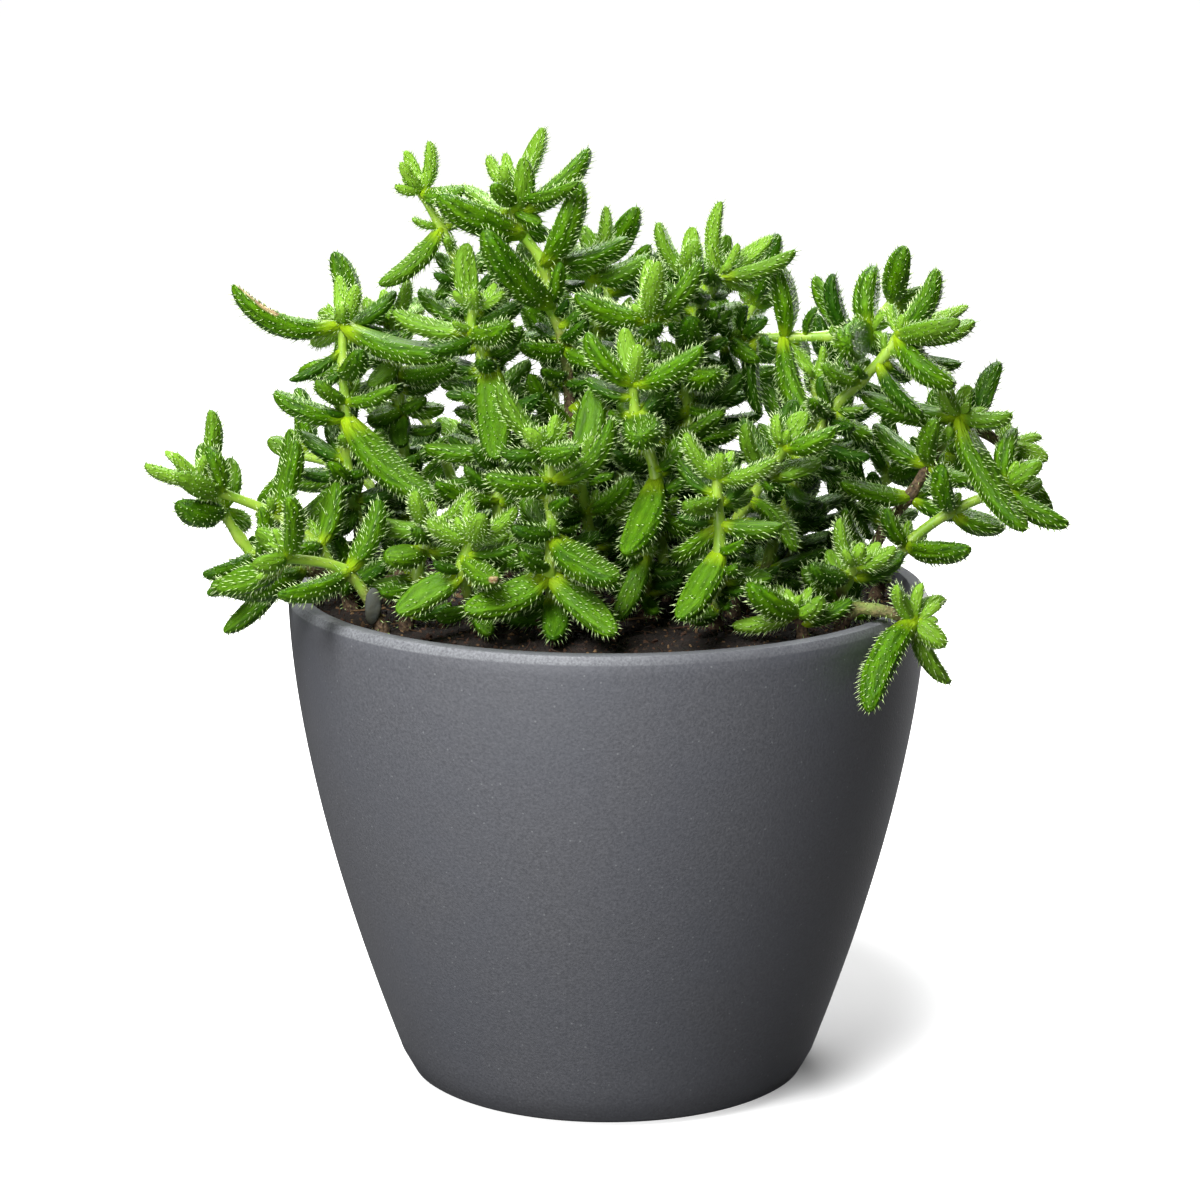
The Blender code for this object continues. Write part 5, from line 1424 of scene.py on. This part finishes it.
class Skin:
    """Closed skins, each of rings between two poles, with the values that the materials read."""

    def __init__(self):
        self.points, self.faces, self.values = [], [], {}

    def add(self, start, rings, end, values):
        """Adds a skin through these rings, an array of (ring, side, 3). Each value has one number, or
        one vector, for each ring point, then one for each pole."""
        first = len(self.points)
        count, sides = rings.shape[:2]
        self.points.extend(map(tuple, rings.reshape(-1, 3)))
        self.points.extend((tuple(start), tuple(end)))
        foot, tip = first + count * sides, first + count * sides + 1
        for k in range(sides):
            after = (k + 1) % sides
            self.faces.append((foot, first + after, first + k))
            for r in range(count - 1):
                low, high = first + r * sides, first + (r + 1) * sides
                self.faces.append((low + k, low + after, high + after, high + k))
            last = first + (count - 1) * sides
            self.faces.append((last + k, last + after, tip))
        for name, numbers in values.items():
            self.values.setdefault(name, []).extend(numbers)

    def make(self, name, material):
        """The item of this name that has these skins."""
        item = mesh_object(name, self.points, self.faces, material)
        for label, numbers in self.values.items():
            set_values(item, label, numbers)
        return item


def faded(values, start, reach):
    """0 up to the start, and 1 from this reach past it."""
    return np.clip((values - start) / reach, 0, 1)


def leaf_rings(blade, draw, places, angles, ridges):
    """The rings of points round a leaf at these places along it, and how thick it is at each."""
    along = unit(blade.tip - blade.base)
    side = np.cross(blade.normal, along)
    length = np.linalg.norm(blade.tip - blade.base)
    starts = [draw.uniform(0, 2 * math.pi) for _ in range(2 * len(WAVES))]
    sway = draw.uniform(-LEAF_SWAY, LEAF_SWAY) * length
    across, up = np.cos(angles), np.sin(angles)
    upper = np.clip(up, 0, 1)
    rings, thick = [], []
    for t in places:
        centre = leaf_axis(blade.base, blade.tip, blade.normal, blade.bow, t)
        centre = centre + side * sway * math.sin(math.pi * t)
        over = unit(blade.normal + along * (blade.bow * 4 * (1 - 2 * t)))
        plump = leaf_radius(t, blade.width * LEAF_FULLNESS, LEAF_NECK_SHARE, LEAF_SHOULDER, LEAF_BLUNTNESS)
        full = math.sin(math.pi * t) ** 0.5
        wave = 0.0
        for (often, lobes, strength), start, turn in zip(WAVES, starts[::2], starts[1::2]):
            swell = LEAF_WAVE * strength * np.sin(2 * math.pi * often * t + start)
            wave = wave + swell * np.cos(lobes * angles + turn)
        radius = plump * (1 + wave + LEAF_RIDGE * ridges * full)
        groove = LEAF_GROOVE * np.exp(-((across / GROOVE_WIDTH) ** 2)) * (upper > 0) * full
        height = up * LEAF_THICKNESS * (1 - (1 - LEAF_UPPER) * upper) - groove
        rings.append(centre + side * (across * radius)[:, None] + over * (height * radius)[:, None])
        thick.append(plump)
    return np.array(rings), thick


def leaf_skin(blade, number, sides, steps):
    """A leaf's foot, rings and end, with the values at its points."""
    draw = random.Random(number)
    along = unit(blade.tip - blade.base)
    share = np.linspace(0, 1, steps + 1)[:-1]
    places = share * (1 + END_CROWDING - END_CROWDING * share)
    angles = np.arange(sides) * 2 * math.pi / sides
    ridges = np.where(np.arange(sides) % 2, -1.0, 1.0)
    rings, thick = leaf_rings(blade, draw, places, angles, ridges)
    count = steps * sides + 2
    t = np.append(np.repeat(places, sides), (0.0, 1.0))
    up = np.append(np.tile(np.sin(angles), steps), (0.0, 0.0))
    turn = np.append(np.tile(angles, steps), (0.0, 0.0))
    radius = np.append(np.repeat(thick, sides), (0.0, 0.0))
    length = np.linalg.norm(blade.tip - blade.base)
    skin = np.stack((
        np.cos(turn) * radius, np.sin(turn) * radius,
        t * length / STREAK_STRETCH + number * STREAK_OFFSET), axis=1) * MM
    bare = faded(up, BARE_FROM, BARE_FADE) * BARENESS[draw.random() < BARE_SHARE]
    scar = np.zeros(count)
    if blade.dry:
        start, upper_only = blade.dry
        scar = faded(t, start, DRY_FADE)
        if upper_only:
            above = np.clip(up * DRY_UPPER_SPREAD + DRY_UPPER_START, 0, 1)
            scar = scar * np.clip(DRY_REACH - t, 0, 1) * above
    values = {
        "along": t, "upper": up, "skin": skin, "dry": scar,
        # A value above 0 makes a young leaf paler; below 0 it paints shade on the leaf.
        "youth": np.full(count, blade.youth), "tint": np.full(count, draw.random()),
        "bristly": faded(t, BRISTLES_FROM, BRISTLES_FADE) * (1 - bare), "toward": np.tile(along, (count, 1)),
        "shag": np.full(count, SHAG_OLD + (SHAG_YOUNG - SHAG_OLD) * max(0.0, blade.youth)),
        # 1 on a leaf's ridges and 0 in its grooves, where the leaf material paints shade.
        "ridge": np.append(np.tile(ridges / 2 + 0.5, steps), (0.5, 0.5))}
    tip = leaf_axis(blade.base, blade.tip, blade.normal, blade.bow, 1.0)
    return blade.base - along * LEAF_FOOT_SINK, rings, tip, values


def smooth_line(points, reach):
    """Points close together on a smooth curve through these, with the share of the way for each."""
    line, shares = [], []
    count = len(points)
    for k in range(count - 1):
        before, first, second, after = (points[min(max(j, 0), count - 1)] for j in range(k - 1, k + 3))
        steps = max(2, int(np.linalg.norm(second - first) / reach))
        for t in np.linspace(0, 1, steps, endpoint=False):
            bend = (
                first * 2 + (second - before) * t + (before * 2 - first * 5 + second * 4 - after) * t * t
                + (first * 3 - before - second * 3 + after) * t**3) / 2
            line.append(bend)
            shares.append(k + t)
    return line + [points[-1]], shares + [count - 1.0]


def make_stems(names, stems, tree, material):
    """All the stems, swept along smooth lines and swollen at their knots. Gives their item."""
    points, edges, thickness, wood = [], [], [], []
    for stem in stems:
        line, shares = smooth_line(list(stem.points), STEM_STEP)
        first = len(points)
        brown_end = BARK_ENDS.get(names[stem.node], 0.0)
        for place, share in zip(line, shares):
            low = int(min(share, len(stem.radii) - 2))
            radius = stem.radii[low] + (stem.radii[low + 1] - stem.radii[low]) * (share - low)
            knot = min(np.linalg.norm(place - joint) for joint in stem.points[1:])
            radius *= 1 + KNOT_SWELL * math.exp(-((knot / KNOT_REACH) ** 2))
            height = np.clip((BARK_TOP - place[2]) / BARK_FADE, 0, 1)
            points.append(tuple(place))
            thickness.append(radius * MM)
            below_end = brown_end - share / (len(stem.points) - 1)
            wood.append(max(height, np.clip(below_end * BARK_END_SHARPNESS, 0, 1)))
        edges += [(first + k, first + k + 1) for k in range(len(line) - 1)]
    mesh = bpy.data.meshes.new("stem_lines")
    mesh.from_pydata(np.array(points) * MM, edges, [])
    lines = add_item("stem_lines", mesh)
    set_values(lines, "thickness", thickness)
    set_values(lines, "wood", wood)
    made = grow(tree, lines, "stems", Sides=STEM_ROUND_SIDES, Material=material)
    show(made, "stem")
    return made


def buds(room, stems):
    """The small young leaves: two crossing pairs at each tip, and single pairs in some of the leaf axils."""
    draw = random.Random(BUD_SEED)
    made = []
    for stem in stems:
        points = stem.points
        for k in range(2, len(points)):
            if points[k][2] < SOIL_EDGE + BUD_FLOOR:
                continue
            direction = joint_direction(points, k)
            last = k == len(points) - 1
            turn = draw.uniform(0, math.pi)
            pairs = TIP_PAIRS if last else ((draw.uniform(*AXIL_LENGTHS), AXIL_RISE, AXIL_WIDTH),)
            if not last and draw.random() > AXIL_SHARE:
                continue
            base = points[k] + direction * BUD_LIFT
            for length, rise, width in pairs:
                side = sideways(direction, turn)
                for way in (side, -side):
                    size = length * draw.uniform(*BUD_SIZES)
                    out = unit(way + direction * rise * draw.uniform(*LENGTH_SPREAD))
                    tip = base + out * (size + BUD_FOOT)
                    normal = upper_side(out, direction)
                    centres, radii = leaf_balls(base, tip, normal, width, LEAF_BOW)
                    half = len(centres) // 2
                    if not last and not room.free(centres[half:], radii[half:], stem.node, BUD_GAP, base):
                        continue
                    room.add(centres, radii, stem.node)
                    youth = 1.0 if last else draw.uniform(*AXIL_YOUTH)
                    made.append(Blade(stem.node, base, tip, direction, normal, width, LEAF_BOW, youth, None))
                turn += math.pi / 2
    return made


def inner_leaves(room, stems):
    """More plain leaves, small ones, wherever the stems still have room for them."""
    made = []
    for seed, step, lengths, front in INNER_PASSES:
        draw = random.Random(seed)
        for stem in stems:
            for first, second in zip(stem.points, stem.points[1:]):
                reach, direction = np.linalg.norm(second - first), unit(second - first)
                for t in np.arange(INNER_START, 1.0, step / max(reach, step)):
                    base = first * (1 - t) + second * t
                    turn, rise = draw.uniform(0, 2 * math.pi), draw.uniform(*INNER_RISES)
                    # Each inner leaf draws how dark its painted shade is.
                    length, youth = draw.uniform(*lengths), draw.uniform(*INNER_YOUTH)
                    tip = base + unit(sideways(direction, turn) + direction * rise) * length
                    inside = math.hypot(base[0], base[1]) < INNER_CORE and base[1] > front
                    if inside and SOIL_EDGE + INNER_FLOOR < base[2] < INNER_TOP:
                        width = length * INNER_SLIMNESS
                        wanted = Blade(stem.node, base, tip, direction, None, width, LEAF_BOW, youth, None)
                        made.append(place_leaf(room, wanted, (0.0,), INNER_GAP))
    return [blade for blade in made if blade]


def dense_leaves(room, stems):
    """Leaves at the places where the plant is dense, each from the nearest stem that has room for it."""
    balls = [stem_balls(stem.points, stem.radii)[0] for stem in stems]
    owners = np.repeat(np.arange(len(stems)), [len(b) for b in balls])
    balls = np.vstack(balls)
    made = []
    for right, up in DENSE_PLACES:
        choices = []
        for depth in DENSE_DEPTHS:
            place = seen(right, up, depth)
            reach = np.linalg.norm(balls - place, axis=1)
            for k in np.nonzero((reach > DENSE_REACH[0]) & (reach < DENSE_REACH[1]))[0]:
                choices.append((reach[k], k, tuple(place)))
        nearest = sorted(choices)[:DENSE_NEAREST:DENSE_SKIP]
        # Low dense leaves are darkened with painted shade.
        youth = DENSE_YOUTH_HIGH if up > INNER_TOP else DENSE_YOUTH_LOW
        for width, (reach, k, place) in itertools.product(DENSE_WIDTHS, nearest):
            stem, base = stems[owners[k]], balls[k]
            joint = int(np.argmin([np.linalg.norm(point - base) for point in stem.points]))
            tip = base + (np.array(place) - base) * (reach + DENSE_PAST) / reach
            direction = joint_direction(stem.points, joint)
            wanted = Blade(stem.node, base, tip, direction, None, width, LEAF_BOW, youth, None)
            blade = place_leaf(room, wanted, (0.0,), INNER_GAP)
            if blade:
                made.append(blade)
                break
    return made


def make_leaves(names, blades, tree, green, white):
    """The leaves of each stem as one piece, and their bristles in a few pieces, the young leaves' last."""
    skins = [Skin() for _ in names]
    coats = [Skin() for _ in range(BRISTLE_PIECES + 1)]
    order = np.argsort([math.atan2(b.tip[1], b.tip[0]) for b in blades])
    sector = np.zeros(len(blades), int)
    sector[order] = np.arange(len(blades)) * BRISTLE_PIECES // len(blades)
    for k, blade in enumerate(blades):
        fineness = (LEAF_SIDES, LEAF_STEPS)
        if blade.width < FINE_LEAF:
            fineness = (BUD_SIDES, BUD_STEPS)
        elif blade.tip[1] > FAR_SIDE:
            fineness = (FAR_SIDES, FAR_STEPS)
        parts = leaf_skin(blade, k, *fineness)
        skins[blade.node].add(*parts)
        coats[sector[k] if blade.youth < YOUNG_COAT else -1].add(*parts)
    for node, name in enumerate(names):
        show(skins[node].make("leaves_" + name, green), "leaf", name)
    for k, bristled in enumerate(coats):
        source = bristled.make(f"bristle_ground_{k}", None)
        sizes = {"Spacing": YOUNG_SPACING} if k == BRISTLE_PIECES else {}
        show(grow(tree, source, f"bristles_{k + 1}", Seed=k + 1, Material=white, **sizes), "bristle")


def make_stem_bristles(stems, tree, white):
    """Sparse bristles on the stems."""
    source = add_item("stem_ground", stems.data.copy())
    count = len(source.data.vertices)
    wood = np.zeros(count, np.float32)
    source.data.attributes["wood"].data.foreach_get("value", wood)
    set_values(source, "bristly", 1.0 - WOOD_BARENESS * wood)
    set_values(source, "shag", np.full(count, STEM_SHAG))
    set_values(source, "youth", np.full(count, STEM_YOUTH))
    set_values(source, "toward", np.tile((0.0, 0.0, STEM_DROOP), (count, 1)))
    bristles = grow(
        tree, source, "stem_bristles", Seed=STEM_COAT_SEED, Spacing=STEM_SPACING, Material=white)
    show(bristles, "bristle")


def make_old_leaf(material):
    """The grey old leaf that stands in the soil near the planter's left side."""
    base, tip = seen(*OLD_LEAF_FOOT), seen(*OLD_LEAF_TIP)
    normal = unit(np.cross(unit(tip - base), OLD_LEAF_FACE))
    blade = Blade(0, base, tip, normal, normal, OLD_LEAF_WIDTH, OLD_LEAF_BOW, 0.0, None)
    foot, rings, end, values = leaf_skin(blade, OLD_LEAF_SEED, OLD_LEAF_SIDES, OLD_LEAF_STEPS)
    middle = rings.mean(axis=1, keepdims=True)
    spread = rings - middle
    flat = spread - normal * (spread @ normal)[..., None] * OLD_LEAF_FLATNESS
    skin = Skin()
    skin.add(foot, middle + flat, end, values)
    show(skin.make("old_leaf", material), "leaf")


# The studio.


def camera_sees(tree):
    """1 for what the camera sees directly, and 0 for light that bounces."""
    return tree.nodes.new("ShaderNodeLightPath").outputs["Is Camera Ray"]


def aim(item, place, target):
    """Puts a light at a place, turned to a target."""
    item.location = place
    item.rotation_euler = (Vector(target) - Vector(place)).to_track_quat("-Z", "Y").to_euler()


def make_floor():
    """A pale floor. The camera sees it white, but for the patch that shows the planter's shade."""
    reach = FLOOR_REACH
    corners = [(-reach, -reach, 0), (reach, -reach, 0), (reach, reach, 0), (-reach, reach, 0)]
    material, tree, shader = new_material("floor white", 0.8)
    shader.inputs["Base Color"].default_value = (FLOOR_TONE,) * 3 + (1.0,)
    place = vector_math(tree, "MULTIPLY", object_place(tree), SHADE_SHAPE)
    away = vector_math(tree, "DISTANCE", place, SHADE_MIDDLE, output="Value")
    glow = add_node(tree, "ShaderNodeEmission", {
        "Color": (1, 1, 1, 1), "Strength": ramp(tree, away, *SHADE_EDGE)})
    pale = add_node(tree, "ShaderNodeBsdfDiffuse", {"Color": (FLOOR_SEEN,) * 3 + (1.0,)})
    both = add_node(tree, "ShaderNodeAddShader", {0: pale.outputs[0], 1: glow.outputs[0]})
    chosen = add_node(tree, "ShaderNodeMixShader", {
        0: camera_sees(tree), 1: shader.outputs[0], 2: both.outputs[0]})
    tree.links.new(chosen.outputs[0], tree.nodes["Material Output"].inputs["Surface"])
    mesh_object("floor", corners, [(0, 1, 2, 3)], material)


def make_world():
    """A world that is white to the camera, and lights nothing by itself."""
    world = bpy.data.worlds.new("studio")
    bpy.context.scene.world = world
    world.use_nodes = True
    tree = world.node_tree
    strength = add_node(tree, "ShaderNodeMapRange", {
        "Value": camera_sees(tree), "To Min": WORLD_LIGHT, "To Max": 1.0}).outputs["Result"]
    tree.nodes["Background"].inputs["Color"].default_value = (1, 1, 1, 1)
    tree.links.new(strength, tree.nodes["Background"].inputs["Strength"])


def make_studio():
    """A pale floor, soft lights and the camera."""
    scene = bpy.context.scene
    scene.view_settings.view_transform = "Standard"
    make_floor()
    make_world()
    for name, place, size, energy in LIGHTS:
        light = bpy.data.lights.new(name, "AREA")
        light.energy = energy
        light.size = size
        aim(add_item(name, light), place, LIGHT_TARGET)
    camera = bpy.data.cameras.new("camera")
    camera.lens = CAMERA_LENS
    camera.sensor_width = CAMERA_SENSOR
    scene.camera = add_item("camera", camera)
    scene.camera.location = CAMERA_PLACE
    scene.camera.rotation_euler = (math.pi / 2 - CAMERA_PITCH, 0.0, 0.0)


def main():
    """Builds the looks of the planter, the soil and the plant, and the studio round them."""
    make_studio()
    names, stems, blades, room = lay_out()
    mottle, flecks = make_mottle(), make_flecks()
    green, white = leaf_material(mottle, flecks), bristle_material()
    make_pot(planter_material(mottle, flecks))
    soil = make_soil(soil_material(mottle, flecks))
    strew_litter(soil, litter_material(mottle))
    blades += buds(room, stems)
    blades += dense_leaves(room, stems)
    blades += inner_leaves(room, stems)
    bristle_tree = make_bristle_tree()
    stem_item = make_stems(names, stems, make_stem_tree(), stem_material(mottle))
    make_stem_bristles(stem_item, bristle_tree, white)
    make_leaves(names, blades, bristle_tree, green, white)
    make_old_leaf(old_leaf_material(mottle))


main()
